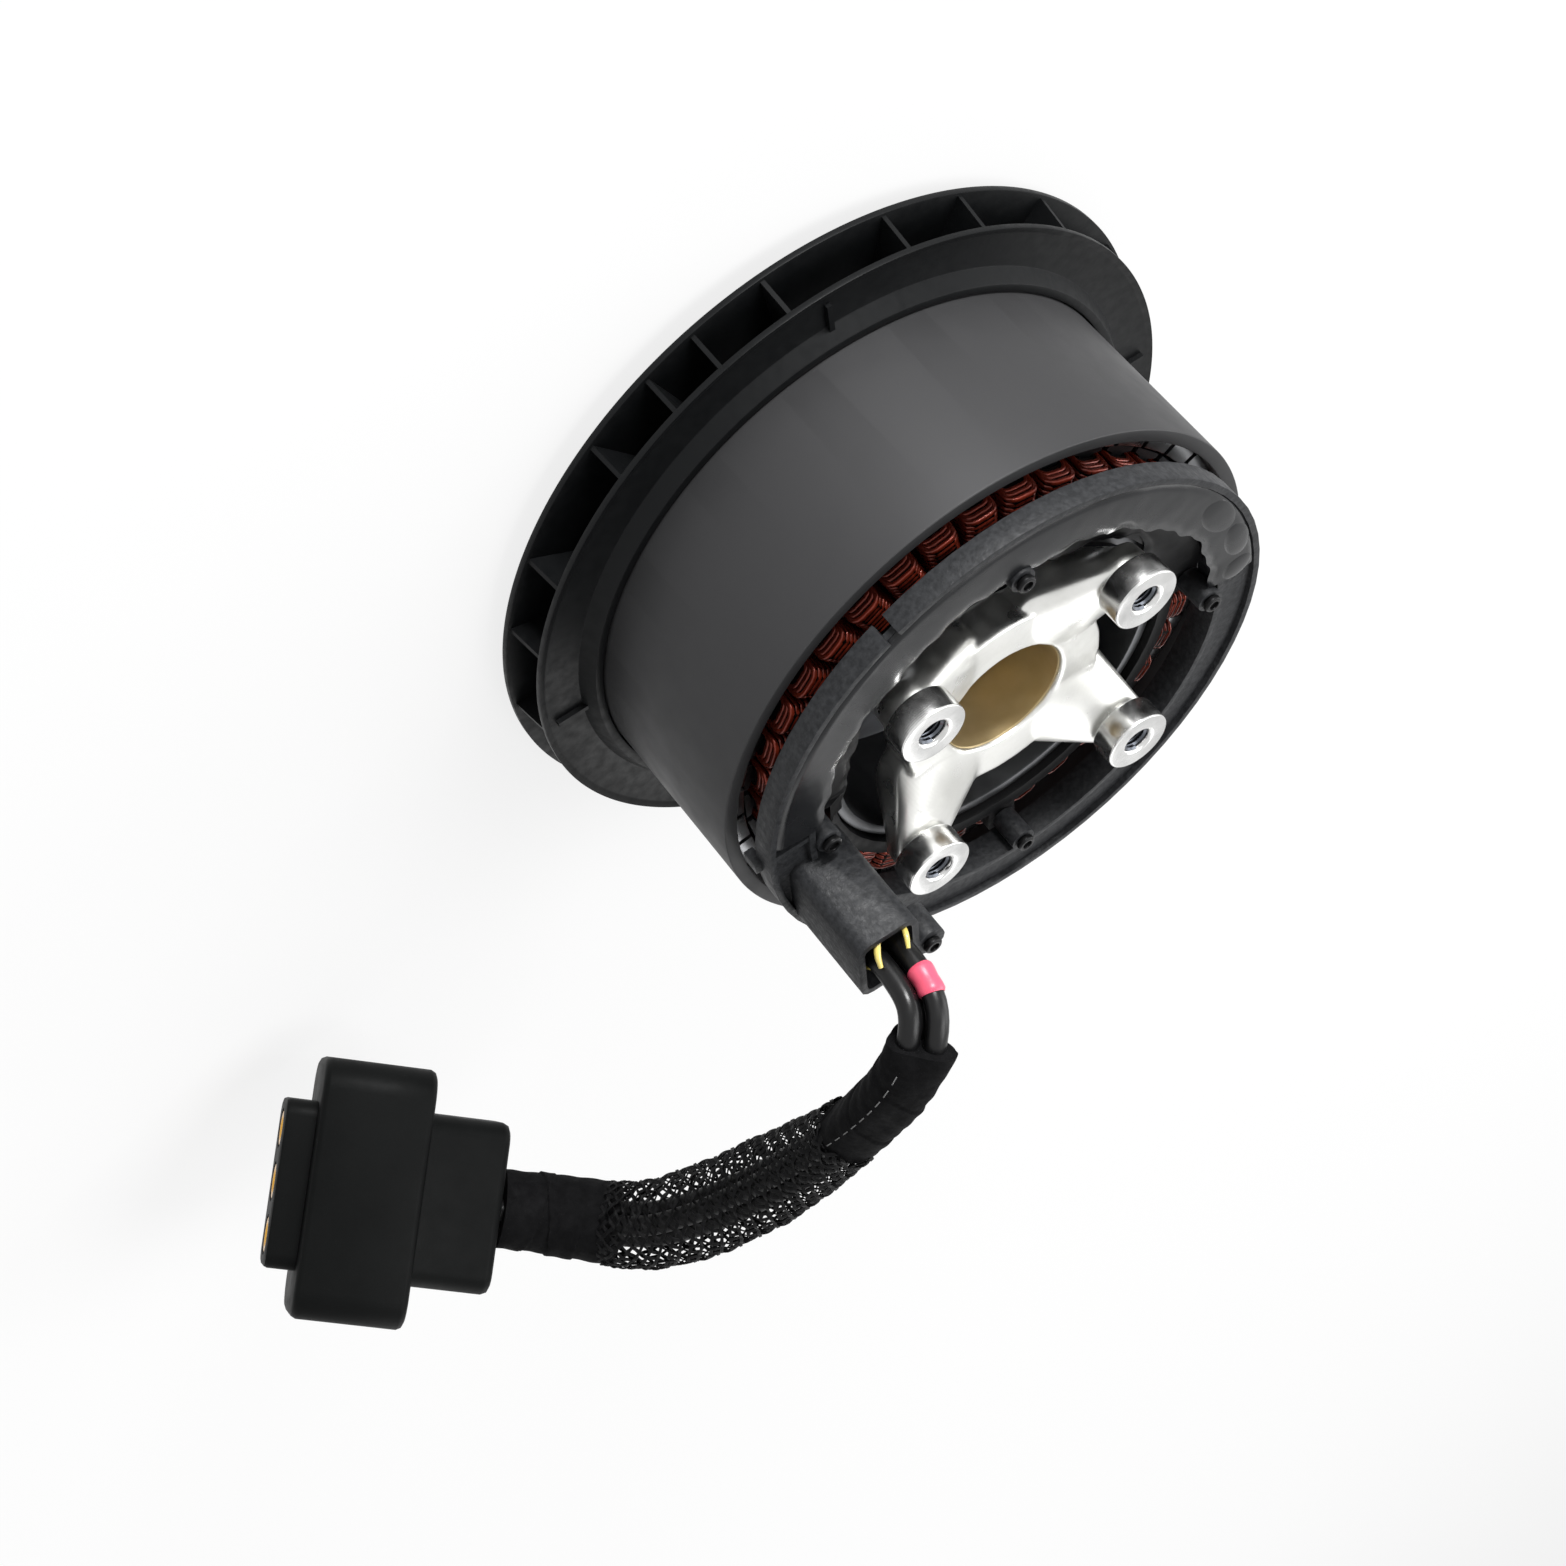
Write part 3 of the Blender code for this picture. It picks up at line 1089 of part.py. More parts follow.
def wire_harness(materials):
    """Three phase wires from the duct to the connector, with marker, tapes and braided sleeve."""
    frames = route_frames(smooth_route([DUCT_MOUTH + Vector(p) * MM for p in ROUTE], ROUTE_STEP))
    length = sum((b[0] - a[0]).length for a, b in zip(frames, frames[1:]))
    lanes = {}
    for number, phase in enumerate(PHASES):
        angle = math.radians(WIRE_PHASE + 120 * number)
        across, along = WIRE_SPREAD * math.cos(angle), WIRE_SPREAD * math.sin(angle)
        lanes[phase] = [
            (point + side * across + up * along, ahead, side, up)
            for point, ahead, side, up in frames
        ]
        points = [frame[0] for frame in lanes[phase]]
        wire_tube(f"phase_wire_{phase}", points, WIRE_RADIUS, materials["silicone"])
    bore = WIRE_RADIUS + 0.2 * MM
    sleeve_body(
        "wire_marker_band", lanes["v"], MARKER_SPAN, (bore, bore),
        (MARKER_RADIUS, MARKER_RADIUS), materials["marker"], 12,
    )
    wall = TAPE_FRONT_RADIUS - TAPE_THICKNESS
    sleeve_body(
        "tape_wrap_front", frames, TAPE_FRONT_SPAN, (wall, wall),
        (TAPE_FRONT_RADIUS, TAPE_FRONT_RADIUS), materials["tape"],
    )
    span = (TAPE_FRONT_SPAN[1] + SEAT_GAP, TAPE_REAR_START - SEAT_GAP)
    shares = np.linspace(0, 1, 11)
    outer = [float(np.interp(s, SLEEVE_SHARES, SLEEVE_RADII)) for s in shares]
    inner = [radius - SLEEVE_THICKNESS for radius in outer]
    sleeve_body("braided_sleeve", frames, span, inner, outer, materials["braid"])
    wall = TAPE_REAR_RADIUS - TAPE_THICKNESS
    sleeve_body(
        "tape_wrap_rear", frames, (TAPE_REAR_START, length - SEAT_GAP), (wall, wall),
        (TAPE_REAR_RADIUS, TAPE_REAR_RADIUS), materials["tape"],
    )


def connector_matrix(distance):
    """The connector's own frame, at a distance from its back along its axis."""
    long_side = CONNECTOR_LONG - CONNECTOR_AXIS * CONNECTOR_LONG.dot(CONNECTOR_AXIS)
    long_side.normalize()
    thick = CONNECTOR_AXIS.cross(long_side)
    turn = Matrix((long_side, thick, CONNECTOR_AXIS)).transposed().to_4x4()
    return Matrix.Translation(CONNECTOR_BACK + CONNECTOR_AXIS * distance) @ turn


def connector_block(name, size, corner, start, material=None):
    """A block of the connector with round corners, standing on its axis."""
    half_long, half_thick = size[1] / 2, size[2] / 2
    outline = rounded_outline((-half_long, half_long), (-half_thick, half_thick), corner)
    item = prism(name, outline, 0.0, size[0], material)
    item.data.transform(connector_matrix(start))
    return item


def connector(materials):
    """Three-pole connector: moulded housing, front insert and three socket contacts."""
    back_length, flange_length = BACK_SIZE[0], FLANGE_SIZE[0]
    overlap = 1.0 * MM
    back = (back_length + overlap, *BACK_SIZE[1:])
    housing = connector_block("connector_housing", back, BACK_CORNER, 0.0, materials["housing"])
    flange = connector_block("flange", FLANGE_SIZE, FLANGE_CORNER, back_length)
    combine(housing, [flange], "UNION")
    front = back_length + flange_length + SEAT_GAP
    insert = connector_block(
        "connector_insert", INSERT_SIZE, INSERT_CORNER, front, materials["housing"]
    )
    holes = []
    for number in (-1, 0, 1):
        centre = (CONTACT_PITCH * number, 0.0)
        bore = drum("hole", centre, CONTACT_RADIUS + SEAT_GAP, -MM, INSERT_SIZE[0] + MM, 16)
        bore.data.transform(connector_matrix(front))
        holes.append(bore)
    combine(insert, holes, "DIFFERENCE")
    depth = INSERT_SIZE[0] - CONTACT_RECESS
    for number in (-1, 0, 1):
        profile = [
            (CONTACT_BORE, 0.8 * MM),
            (CONTACT_BORE, depth),
            (CONTACT_RADIUS, depth),
            (CONTACT_RADIUS, 0.0),
            (0.0, 0.0),
            (0.0, 0.8 * MM),
        ]
        contact = turned(f"socket_contact_{number + 2}", profile, materials["gold"], steps=16)
        move_mesh(contact, (CONTACT_PITCH * number, 0.0, 0.0))
        contact.data.transform(connector_matrix(front))


def parent_to(name, items):
    """An empty on the spin axis that carries the pieces that turn with it."""
    carrier = bpy.data.objects.new(name, None)
    bpy.context.scene.collection.objects.link(carrier)
    for item in items:
        bpy.data.objects[item].parent = carrier


def build():
    """Makes the whole motor."""
    clear_scene()
    materials = make_materials()
    fan = fan_ring(materials["fan"])
    cut_fan_screw_holes(fan)
    rotor_bell(materials["anodised"])
    rotor_spider(materials["machined"])
    fan_screws(materials["screw"])
    rotor_shaft(materials["shaft"])
    shaft_circlip(materials["steel"])
    for place, bottom in BEARING_BOTTOMS_Z.items():
        ball_bearing(place, bottom, materials["steel"], materials["steel"])
    stator_mount(materials["machined"])
    stator_core(materials["stack"])
    for phase in PHASES:
        phase_winding(phase, materials["copper"])
    end_insulators(materials["insulator"])
    cover_ring(materials["cover"])
    cover_screws(materials["screw"])
    potting(materials["potting"])
    wire_harness(materials)
    connector(materials)
    rotor = ["fan_ring", "rotor_bell", "rotor_spider", "rotor_shaft", "shaft_circlip"]
    rotor += [f"fan_screw_{i + 1}" for i in range(FAN_SCREW_COUNT)]
    rotor += [f"bearing_inner_ring_{place}" for place in BEARING_BOTTOMS_Z]
    parent_to("rotor_axis", rotor)
    parent_to("ball_cage_axis", [f"bearing_ball_cage_{place}" for place in BEARING_BOTTOMS_Z])


build()
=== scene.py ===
"""Looks of the outrunner motor: camera, harness, finishes and the fine pieces on the CAD model."""
import math

import bmesh
import bpy
import numpy as np
from mathutils import Matrix, Vector


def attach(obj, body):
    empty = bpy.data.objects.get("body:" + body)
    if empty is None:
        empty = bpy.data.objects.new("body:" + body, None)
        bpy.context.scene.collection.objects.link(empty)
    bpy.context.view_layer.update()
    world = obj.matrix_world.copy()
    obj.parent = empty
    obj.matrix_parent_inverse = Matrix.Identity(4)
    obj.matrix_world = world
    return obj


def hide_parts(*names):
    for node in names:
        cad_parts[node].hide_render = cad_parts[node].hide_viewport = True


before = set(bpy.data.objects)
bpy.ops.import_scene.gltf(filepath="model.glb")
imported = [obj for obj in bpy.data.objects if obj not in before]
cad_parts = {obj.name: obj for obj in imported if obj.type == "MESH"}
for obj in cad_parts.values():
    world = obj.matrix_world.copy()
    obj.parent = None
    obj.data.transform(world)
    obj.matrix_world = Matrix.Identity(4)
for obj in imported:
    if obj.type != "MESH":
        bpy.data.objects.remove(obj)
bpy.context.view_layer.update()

MM = 0.001
scene = bpy.context.scene


# Camera
def place_camera():
    """The photograph's own view, solved from the circles of the bell, the cover and the fan."""
    right = Vector((-0.8203, 0.0653, 0.5682)).normalized()
    forward = Vector((-0.2544, 0.8482, -0.4647)).normalized()
    up = right.cross(forward).normalized()
    data = bpy.data.cameras.new("photo_camera")
    data.lens = 71.41
    data.sensor_width = 36.0
    data.clip_end = 20.0
    camera = bpy.data.objects.new("photo_camera", data)
    place = Matrix.Translation(Vector((180.7, -463.4, 303.7)) * MM)
    camera.matrix_world = place @ Matrix((right, up, -forward)).transposed().to_4x4()
    scene.collection.objects.link(camera)
    scene.camera = camera


# Nodes of the materials
def node(tree, kind, links=None, **settings):
    """Adds a node, sets its settings and its inputs: a socket is linked, a value is set."""
    made = tree.nodes.new(kind)
    for key, value in settings.items():
        setattr(made, key, value)
    for key, value in (links or {}).items():
        if isinstance(value, bpy.types.NodeSocket):
            tree.links.new(value, made.inputs[key])
        else:
            made.inputs[key].default_value = value
    return made


def linear(colour):
    """sRGB hex to a linear RGBA colour."""
    channels = [int(colour[i : i + 2], 16) / 255 for i in (1, 3, 5)]
    return (*[c / 12.92 if c <= 0.04045 else ((c + 0.055) / 1.055) ** 2.4 for c in channels], 1.0)


def surface(name, colour, metallic, roughness, spread=0.06, grain=250.0, bump=0.02, bump_scale=900.0,
            other=None, blotch=60.0, marks=None, mark_depth=0.01, coat=0.0, gloss=0.5):
    """A finish with varied roughness, a fine bump, and optional blotches, tool marks and coat.

    Bump depths are in millimetres. marks is (kind, scale): rings about Z or bands along Z.
    """
    material = bpy.data.materials.new(name)
    material.use_nodes = True
    tree = material.node_tree
    shader = tree.nodes["Principled BSDF"]
    shader.inputs["Metallic"].default_value = metallic
    shader.inputs["Base Color"].default_value = linear(colour)
    shader.inputs["Specular IOR Level"].default_value = gloss
    if coat:
        shader.inputs["Coat Weight"].default_value = coat
        shader.inputs["Coat Roughness"].default_value = 0.08
    place = node(tree, "ShaderNodeTexCoord").outputs["Object"]
    speckle = node(tree, "ShaderNodeTexNoise", {"Vector": place, "Scale": grain, "Detail": 3.0})
    rough = node(tree, "ShaderNodeMapRange", {
        "Value": speckle.outputs["Fac"], "From Min": 0.3, "From Max": 0.7,
        "To Min": max(0.03, roughness - spread), "To Max": roughness + spread,
    })
    tree.links.new(rough.outputs["Result"], shader.inputs["Roughness"])
    if other:
        patch = node(tree, "ShaderNodeTexNoise", {"Vector": place, "Scale": blotch, "Detail": 4.0})
        share = node(tree, "ShaderNodeMapRange", {
            "Value": patch.outputs["Fac"], "From Min": 0.35, "From Max": 0.68,
        })
        mixed = node(tree, "ShaderNodeMixRGB", {
            "Fac": share.outputs["Result"], "Color1": linear(colour), "Color2": linear(other),
        })
        tree.links.new(mixed.outputs["Color"], shader.inputs["Base Color"])
    grit = node(tree, "ShaderNodeTexNoise", {"Vector": place, "Scale": bump_scale, "Detail": 2.0})
    uneven = node(tree, "ShaderNodeBump", {
        "Height": grit.outputs["Fac"], "Distance": bump * MM, "Strength": 1.0,
    })
    normal = uneven.outputs["Normal"]
    if marks:
        kind, scale = marks
        lines = node(tree, "ShaderNodeTexWave", {
            "Vector": place, "Scale": scale, "Distortion": 1.5, "Detail": 2.0, "Detail Scale": 2.0,
        }, wave_type=kind, wave_profile="SIN", **{f"{kind.lower()}_direction": "Z"})
        cut = node(tree, "ShaderNodeBump", {
            "Height": lines.outputs["Fac"], "Distance": mark_depth * MM, "Strength": 1.0, "Normal": normal,
        })
        normal = cut.outputs["Normal"]
    tree.links.new(normal, shader.inputs["Normal"])
    return material


def make_finishes():
    """Every finish of the motor, named for the real material; the seat's colour is painted shade, and the
    varnish is darkened as painted shade.
    """
    return {
        # turned and satin anodised aluminium of the bell, nickel-plated magnets
        "bell": surface("satin_anodised_turned_aluminium", "#39393a", 0.35, 0.5, 0.04, 180, 0.002, 1500,
                        marks=("BANDS", 900.0), mark_depth=0.0006, gloss=0.2),
        "magnet": surface("nickel_plated_magnet", "#8d8e90", 1.0, 0.3, 0.05, 300, 0.004, 900),
        # milled aluminium with faint tool marks
        "milled": surface("milled_aluminium", "#e6e6e3", 1.0, 0.34, 0.09, 220, 0.01, 600,
                          other="#cdcdc9", blotch=110, marks=("RINGS", 420.0), mark_depth=0.003),
        "turned": surface("faced_aluminium", "#dddddc", 1.0, 0.24, 0.06, 240, 0.004, 900,
                          other="#c4c4c3", blotch=160, marks=("BANDS", 800.0), mark_depth=0.002),
        # the mount's inner tubes, turned aluminium a little rough, with the colour darkened as painted shade
        # where the plate and cover shade them
        "seat": surface("turned_aluminium_with_painted_shade", "#6b6c6e", 1.0, 0.4, 0.06, 240, 0.003, 900,
                        other="#5a5b5d", blotch=90),
        # cut threads of the bosses, and the spider on the hidden side
        "insert": surface("steel_thread_insert", "#55585e", 1.0, 0.3, 0.06, 400, 0.003, 900),
        "spider": surface("turned_aluminium_spider", "#c9cacb", 1.0, 0.3, 0.06, 200, 0.004, 900,
                          marks=("RINGS", 500.0), mark_depth=0.002),
        # glass-filled nylon of the fan
        "fan": surface("glass_filled_nylon_fan", "#0e0f10", 0.0, 0.45, 0.08, 500, 0.01, 1400, gloss=0.12),
        # sandblast-textured nylon of the cover and duct
        "cover": surface("textured_nylon_cover", "#1b1c1e", 0.0, 0.5, 0.1, 700, 0.08, 1500,
                         other="#2c2d2f", blotch=1000, gloss=0.2),
        # epoxy resin, poured in the channel and run over the insulator, and glue at the duct
        "resin": surface("poured_epoxy_resin", "#111214", 0.0, 0.24, 0.08, 90, 0.3, 90, gloss=0.26,
                         other="#191a1c", blotch=70),
        "spill": surface("run_epoxy_resin", "#050506", 0.0, 0.36, 0.08, 120, 0.15, 160, gloss=0.08),
        "glue": surface("clear_yellowed_glue", "#d8c469", 0.0, 0.2, 0.05, 300, 0.03, 500, coat=0.6),
        # enamel over drawn copper wire, with varnish drawn into the coils; the varnish is darkened as painted
        # shade, so the grooves between the turns read dark
        "copper": surface("enamelled_copper_wire", "#943622", 0.4, 0.3, 0.06, 900, 0.004, 2000,
                          other="#6e2414", blotch=160, coat=0.15),
        "varnish_and_groove_shade": surface("impregnating_varnish_and_painted_groove_shade", "#100604", 0.0, 0.6, 0.1, 300, 0.02, 700, gloss=0.08),
        # punched laminations, moulded slot liner, ground bearing rings
        "steel_stack": surface("silicon_steel_stack", "#3a3b3d", 1.0, 0.45, 0.08, 400, 0.004, 900,
                               marks=("BANDS", 1400.0), mark_depth=0.02),
        "insulator": surface("moulded_insulator_resin", "#0d0d0e", 0.0, 0.5, 0.07, 500, 0.02, 1500,
                             gloss=0.15),
        "steel": surface("ground_bearing_steel", "#b9bcc0", 1.0, 0.18, 0.05, 300, 0.002, 900),
        # bore lining with a bronze tint
        "bronze": surface("bronze_lined_bore", "#cdbb93", 0.75, 0.4, 0.05, 260, 0.002, 900,
                          other="#b09d74", blotch=60),
        # screws with a black oxide
        "black_steel": surface("black_oxide_steel", "#141415", 0.6, 0.38, 0.08, 600, 0.006, 1300, gloss=0.3),
        # extruded silicone of the wires, and the shrunk marker
        "silicone": surface("extruded_silicone_insulation", "#0b0b0c", 0.0, 0.34, 0.07, 260, 0.02, 500,
                            gloss=0.3),
        "marker": surface("red_heat_shrink", "#d8506a", 0.0, 0.36, 0.06, 400, 0.02, 800),
        # cotton cloth tape and its sewing thread
        "tape": surface("black_cloth_tape", "#0b0b0c", 0.0, 0.85, 0.08, 900, 0.06, 2600,
                        other="#121213", blotch=500, gloss=0.06),
        "thread": surface("grey_seam_thread", "#6d6d6d", 0.0, 0.7, 0.08, 900, 0.02, 2600),
        # braided polyester yarn
        "yarn": surface("braided_polyester_yarn", "#050506", 0.0, 0.5, 0.1, 1200, 0.03, 3000,
                        other="#0b0b0c", blotch=700, gloss=0.12),
        # moulded connector and its plated sockets
        "rubber": surface("moulded_connector_rubber", "#090a0a", 0.0, 0.5, 0.04, 350, 0.02, 1300,
                          other="#0d0e0e", blotch=60, gloss=0.06),
        "gold": surface("gold_plated_brass", "#d9a441", 1.0, 0.22, 0.06, 500, 0.003, 900),
    }


# Meshes
def add_mesh(name, vertices, faces, material, angle=35.0):
    """A mesh object from vertices in metres, with smooth shading up to an edge angle."""
    mesh = bpy.data.meshes.new(name)
    mesh.from_pydata([tuple(v) for v in vertices], [], [tuple(int(i) for i in f) for f in faces])
    item = bpy.data.objects.new(name, mesh)
    scene.collection.objects.link(item)
    tidy_mesh(mesh, angle)
    mesh.materials.append(material)
    return item


def tidy_mesh(mesh, angle):
    """Welds, turns the normals outward and marks the sharp edges."""
    builder = bmesh.new()
    builder.from_mesh(mesh)
    bmesh.ops.remove_doubles(builder, verts=builder.verts[:], dist=1e-7)
    bmesh.ops.recalc_face_normals(builder, faces=builder.faces[:])
    builder.to_mesh(mesh)
    builder.free()
    mesh.shade_smooth()
    mesh.set_sharp_from_angle(angle=math.radians(angle))


def grid_faces(rows, columns, close_rows=False, close_columns=False):
    """Quads of a grid of points, row by row."""
    faces = []
    for i in range(rows if close_rows else rows - 1):
        for j in range(columns if close_columns else columns - 1):
            here, above = i * columns, ((i + 1) % rows) * columns
            after = (j + 1) % columns
            faces.append((here + j, here + after, above + after, above + j))
    return faces


def turned_faces(profile, steps):
    """Faces of a closed profile turned all the way round."""
    return grid_faces(steps, len(profile), True, True)


def lathe_points(profile, steps, start=0.0, sweep=360.0, centre=(0.0, 0.0)):
    """Points of a profile of (radius, height) in mm turned about a centre, one row for each step."""
    count = steps if sweep >= 360 else steps + 1
    angles = np.radians(start + sweep * np.arange(count) / steps)
    profile = np.array(profile, float)
    return MM * np.stack([
        centre[0] + np.outer(np.cos(angles), profile[:, 0]),
        centre[1] + np.outer(np.sin(angles), profile[:, 0]),
        np.tile(profile[:, 1], (count, 1)),
    ], axis=-1)


def rod(radius, bottom, top):
    """Profile of a plain solid cylinder."""
    return [(0.001, bottom), (radius, bottom), (radius, top), (0.001, top)]


def lathe(name, profile, material, steps=160, centre=(0.0, 0.0), angle=30.0):
    """A closed turned body; the profile is a loop of (radius, height) in mm."""
    points = lathe_points(profile, steps, centre=centre).reshape(-1, 3)
    return add_mesh(name, points, turned_faces(profile, steps), material, angle)


def rounded(profile, radius, steps=3):
    """A closed profile whose corners are rounded by up to a radius."""
    result = []
    points = np.array(profile, float)
    for here, before, after in zip(points, np.roll(points, 1, axis=0), np.roll(points, -1, axis=0)):
        back, ahead = np.linalg.norm(before - here), np.linalg.norm(after - here)
        cut = min(radius, 0.45 * back, 0.45 * ahead)
        first = here + (before - here) / back * cut
        last = here + (after - here) / ahead * cut
        for t in np.linspace(0, 1, steps + 1):
            result.append(tuple((1 - t) ** 2 * first + 2 * t * (1 - t) * here + t**2 * last))
    return result


def distances(line):
    """Distance of each point from the line's start, along the line."""
    return np.concatenate([[0], np.cumsum(np.linalg.norm(np.diff(line, axis=0), axis=1))])


def picked(line, along, at):
    """Values of a line's points, or of its frames, at some distances along it."""
    return np.stack([np.interp(at, along, line[:, k]) for k in range(3)], axis=1)


def smooth_line(points, count):
    """Even points along the smooth curve through a few points."""
    points = np.array(points, float)
    padded = np.vstack([2 * points[0] - points[1], points, 2 * points[-1] - points[-2]])
    fine = []
    for i in range(1, len(padded) - 2):
        before, start, end, after = padded[i - 1 : i + 3]
        for t in np.linspace(0, 1, 24, endpoint=False):
            curve = 2 * start + (end - before) * t
            curve = curve + (2 * before - 5 * start + 4 * end - after) * t**2
            curve = curve + (3 * start - before - 3 * end + after) * t**3
            fine.append(curve / 2)
    fine.append(points[-1])
    fine = np.array(fine)
    along = distances(fine)
    return picked(fine, along, np.linspace(0, along[-1], count))


def line_frames(line):
    """Direction of a line at each point, with two sideways directions that don't twist along it."""
    ahead = np.gradient(np.asarray(line, float), axis=0)
    ahead /= np.linalg.norm(ahead, axis=1)[:, None]
    sides, ups = [], []
    side = np.array([1.0, 0.0, 0.0])
    for direction in ahead:
        side = side - direction * side.dot(direction)
        side /= np.linalg.norm(side)
        sides.append(side)
        ups.append(np.cross(direction, side))
    return ahead, np.array(sides), np.array(ups)


def tube_points(line, radii, sides, frames=None):
    """Rings of points round a line; radii is a number, a list for the rings, or a full grid."""
    line = np.asarray(line, float)
    _, side, up = frames or line_frames(line)
    angles = 2 * np.pi * np.arange(sides) / sides
    radii = np.asarray(radii, float)
    if radii.ndim == 1:
        radii = radii[:, None]
    radii = np.broadcast_to(radii, (len(line), sides))
    offsets = side[:, None] * np.cos(angles)[None, :, None] + up[:, None] * np.sin(angles)[None, :, None]
    return line[:, None] + offsets * radii[..., None]


def closed_tube(points):
    """Vertices and faces of rings of points with flat ends."""
    rows, columns = points.shape[:2]
    faces = grid_faces(rows, columns, False, True)
    faces.append(tuple(range(columns)))
    faces.append(tuple((rows - 1) * columns + i for i in reversed(range(columns))))
    return points.reshape(-1, 3), faces


def joined(name, parts, material, angle=35.0):
    """One mesh object from several lists of (vertices, faces)."""
    vertices, faces, base = [], [], 0
    for points, quads in parts:
        vertices.append(points)
        faces += [tuple(i + base for i in quad) for quad in quads]
        base += len(points)
    return add_mesh(name, np.vstack(vertices), faces, material, angle)


def stand_in(item, body, *nodes):
    """The item rides on a body and is shown in place of CAD nodes."""
    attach(item, body)
    if nodes:
        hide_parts(*nodes)
    return item


# Harness: the route's points are those of part.py, in millimetres
ROUTE = [
    (43.4, 12.6, 80.3), (43.4, 12.6, 88.0), (44.4, 13.4, 94.0), (47.2, 16.8, 97.7),
    (51.0, 24.5, 98.2), (54.8, 35.5, 95.8), (59.5, 49.55, 91.2), (65.8, 66.2, 84.25),
    (74.2, 82.0, 76.6), (84.1, 92.1, 70.0), (93.4, 97.8, 63.0), (104.61, 97.98, 52.08),
    (114.13, 94.06, 45.26),
]
WIRE_RADIUS = 2.1
WIRE_SPREAD = 2.75  # of each wire from the middle line
WIRE_PHASE = 90.0  # turn of wire u about the middle line
MARKER_SPAN = (8.5, 14.0)
MARKER_RADIUS = 2.44
TAPE_FRONT_SPAN = (20.5, 58.0)
TAPE_FRONT_RADIUS = 6.4
TAPE_REAR_START = 128.0
TAPE_REAR_RADIUS = 8.3
TAPE_THICKNESS = 0.32
SLEEVE_SHARES = (0.0, 0.2, 0.45, 0.75, 1.0)
SLEEVE_RADII = (6.6, 7.6, 8.9, 9.3, 8.6)  # at those shares of the sleeve's length
SEAM_ANGLE = 300.0
STITCH_LENGTH = 1.9
STITCH_PITCH = 3.6
BRAID_CARRIERS = 20  # strands of each hand
BRAID_PITCH = 54.0
STRAND_RADIUS = 0.155  # of one filament
STRAND_SIDES = 5


def harness_line(first, last, count):
    """Points of the harness's middle line between two distances in mm, with their frames and
    distances, and the whole line's length."""
    fine = smooth_line(ROUTE, 801)
    along = distances(fine)
    at = np.linspace(first, min(last, along[-1]), count)
    line, *frames = [picked(field, along, at) for field in (fine, *line_frames(fine))]
    return line, tuple(frames), at, along[-1]


def build_harness(finishes):
    """Three silicone wires, marker, cloth tape, braided sleeve and connector."""
    line, frames, _, length = harness_line(0, math.inf, 120)
    wires, lanes = [], []
    for number, phase in enumerate("uvw"):
        turn = math.radians(WIRE_PHASE + 120 * number)
        _, side, up = frames
        lane = line + side * WIRE_SPREAD * math.cos(turn) + up * WIRE_SPREAD * math.sin(turn)
        lanes.append(lane)
        rings = tube_points(lane * MM, WIRE_RADIUS * MM, 20, frames)
        wires.append(joined(f"silicone_wire_{phase}", [closed_tube(rings)], finishes["silicone"], 50))
        stand_in(wires[-1], "stator", f"phase_wire_{phase}")
    pieces = [heat_shrink_marker(finishes, lanes[1]), *cloth_tapes(finishes, length),
              *braided_sleeve(finishes), *connector(finishes)]
    lane = lanes[0]


def round_line(frames, reach, turn):
    """Offsets from a line: a distance and a turn about it for each of its points."""
    _, side, up = frames
    return side * (reach * np.cos(turn))[:, None] + up * (reach * np.sin(turn))[:, None]


def heat_shrink_marker(finishes, lane):
    """Shrunk sleeve round one wire, thinner at its ends."""
    line = picked(lane, distances(lane), np.linspace(*MARKER_SPAN, 14))
    share = np.linspace(0, 1, 14)
    radii = MARKER_RADIUS + 0.08 * np.sin(share * 9) - 0.2 * (share < 0.05) - 0.2 * (share > 0.95)
    rings = tube_points(line * MM, radii * MM, 24)
    return stand_in(joined("heat_shrink_marker", [closed_tube(rings)], finishes["marker"], 50),
                    "stator", "wire_marker_band")


def cloth_tapes(finishes, length):
    """Cloth tapes wound in a helix, each turn lapping over the last, and the front one's seam."""
    items = []
    for name, node_name, span, radius, pitch in (
        ("cloth_tape_front", "tape_wrap_front", TAPE_FRONT_SPAN, TAPE_FRONT_RADIUS, 14.0),
        ("cloth_tape_rear", "tape_wrap_rear", (TAPE_REAR_START, length - 0.3), TAPE_REAR_RADIUS, 11.0),
    ):
        count = int((span[1] - span[0]) * 3)
        line, frames, at, _ = harness_line(*span, count)
        sides = 72
        angles = 2 * np.pi * np.arange(sides) / sides
        along = at[:, None]
        lap = (along / pitch + angles / (2 * np.pi)) % 1.0
        radii = radius - 0.42 + TAPE_THICKNESS * (1 - lap) ** 0.5
        fold = 0.16 * np.sin(5 * angles + along * 0.5) * np.sin(along * 0.7)
        if name == "cloth_tape_front":
            # it lies on the three wires, and its first turn gapes
            lobes = 0.45 * np.cos(3 * (angles - math.radians(WIRE_PHASE)))
            open_end = np.exp(-((along - span[0]) / 2.6) ** 2)
            radii = radii - 0.4 + lobes * (1 + 0.8 * open_end) + 0.35 * open_end * np.sin(2 * angles + 0.4)
        else:
            # its last turn is drawn into the connector
            radii = radii - 0.35 * (along > span[1] - 8.5 + 1.6 * np.sin(angles))
        rings = tube_points(line * MM, (radii + fold) * MM, sides, frames)
        item = joined(name, [closed_tube(rings)], finishes["tape"], 40)
        items.append(stand_in(item, "stator", node_name))
    items.append(seam_stitches(finishes))
    return items


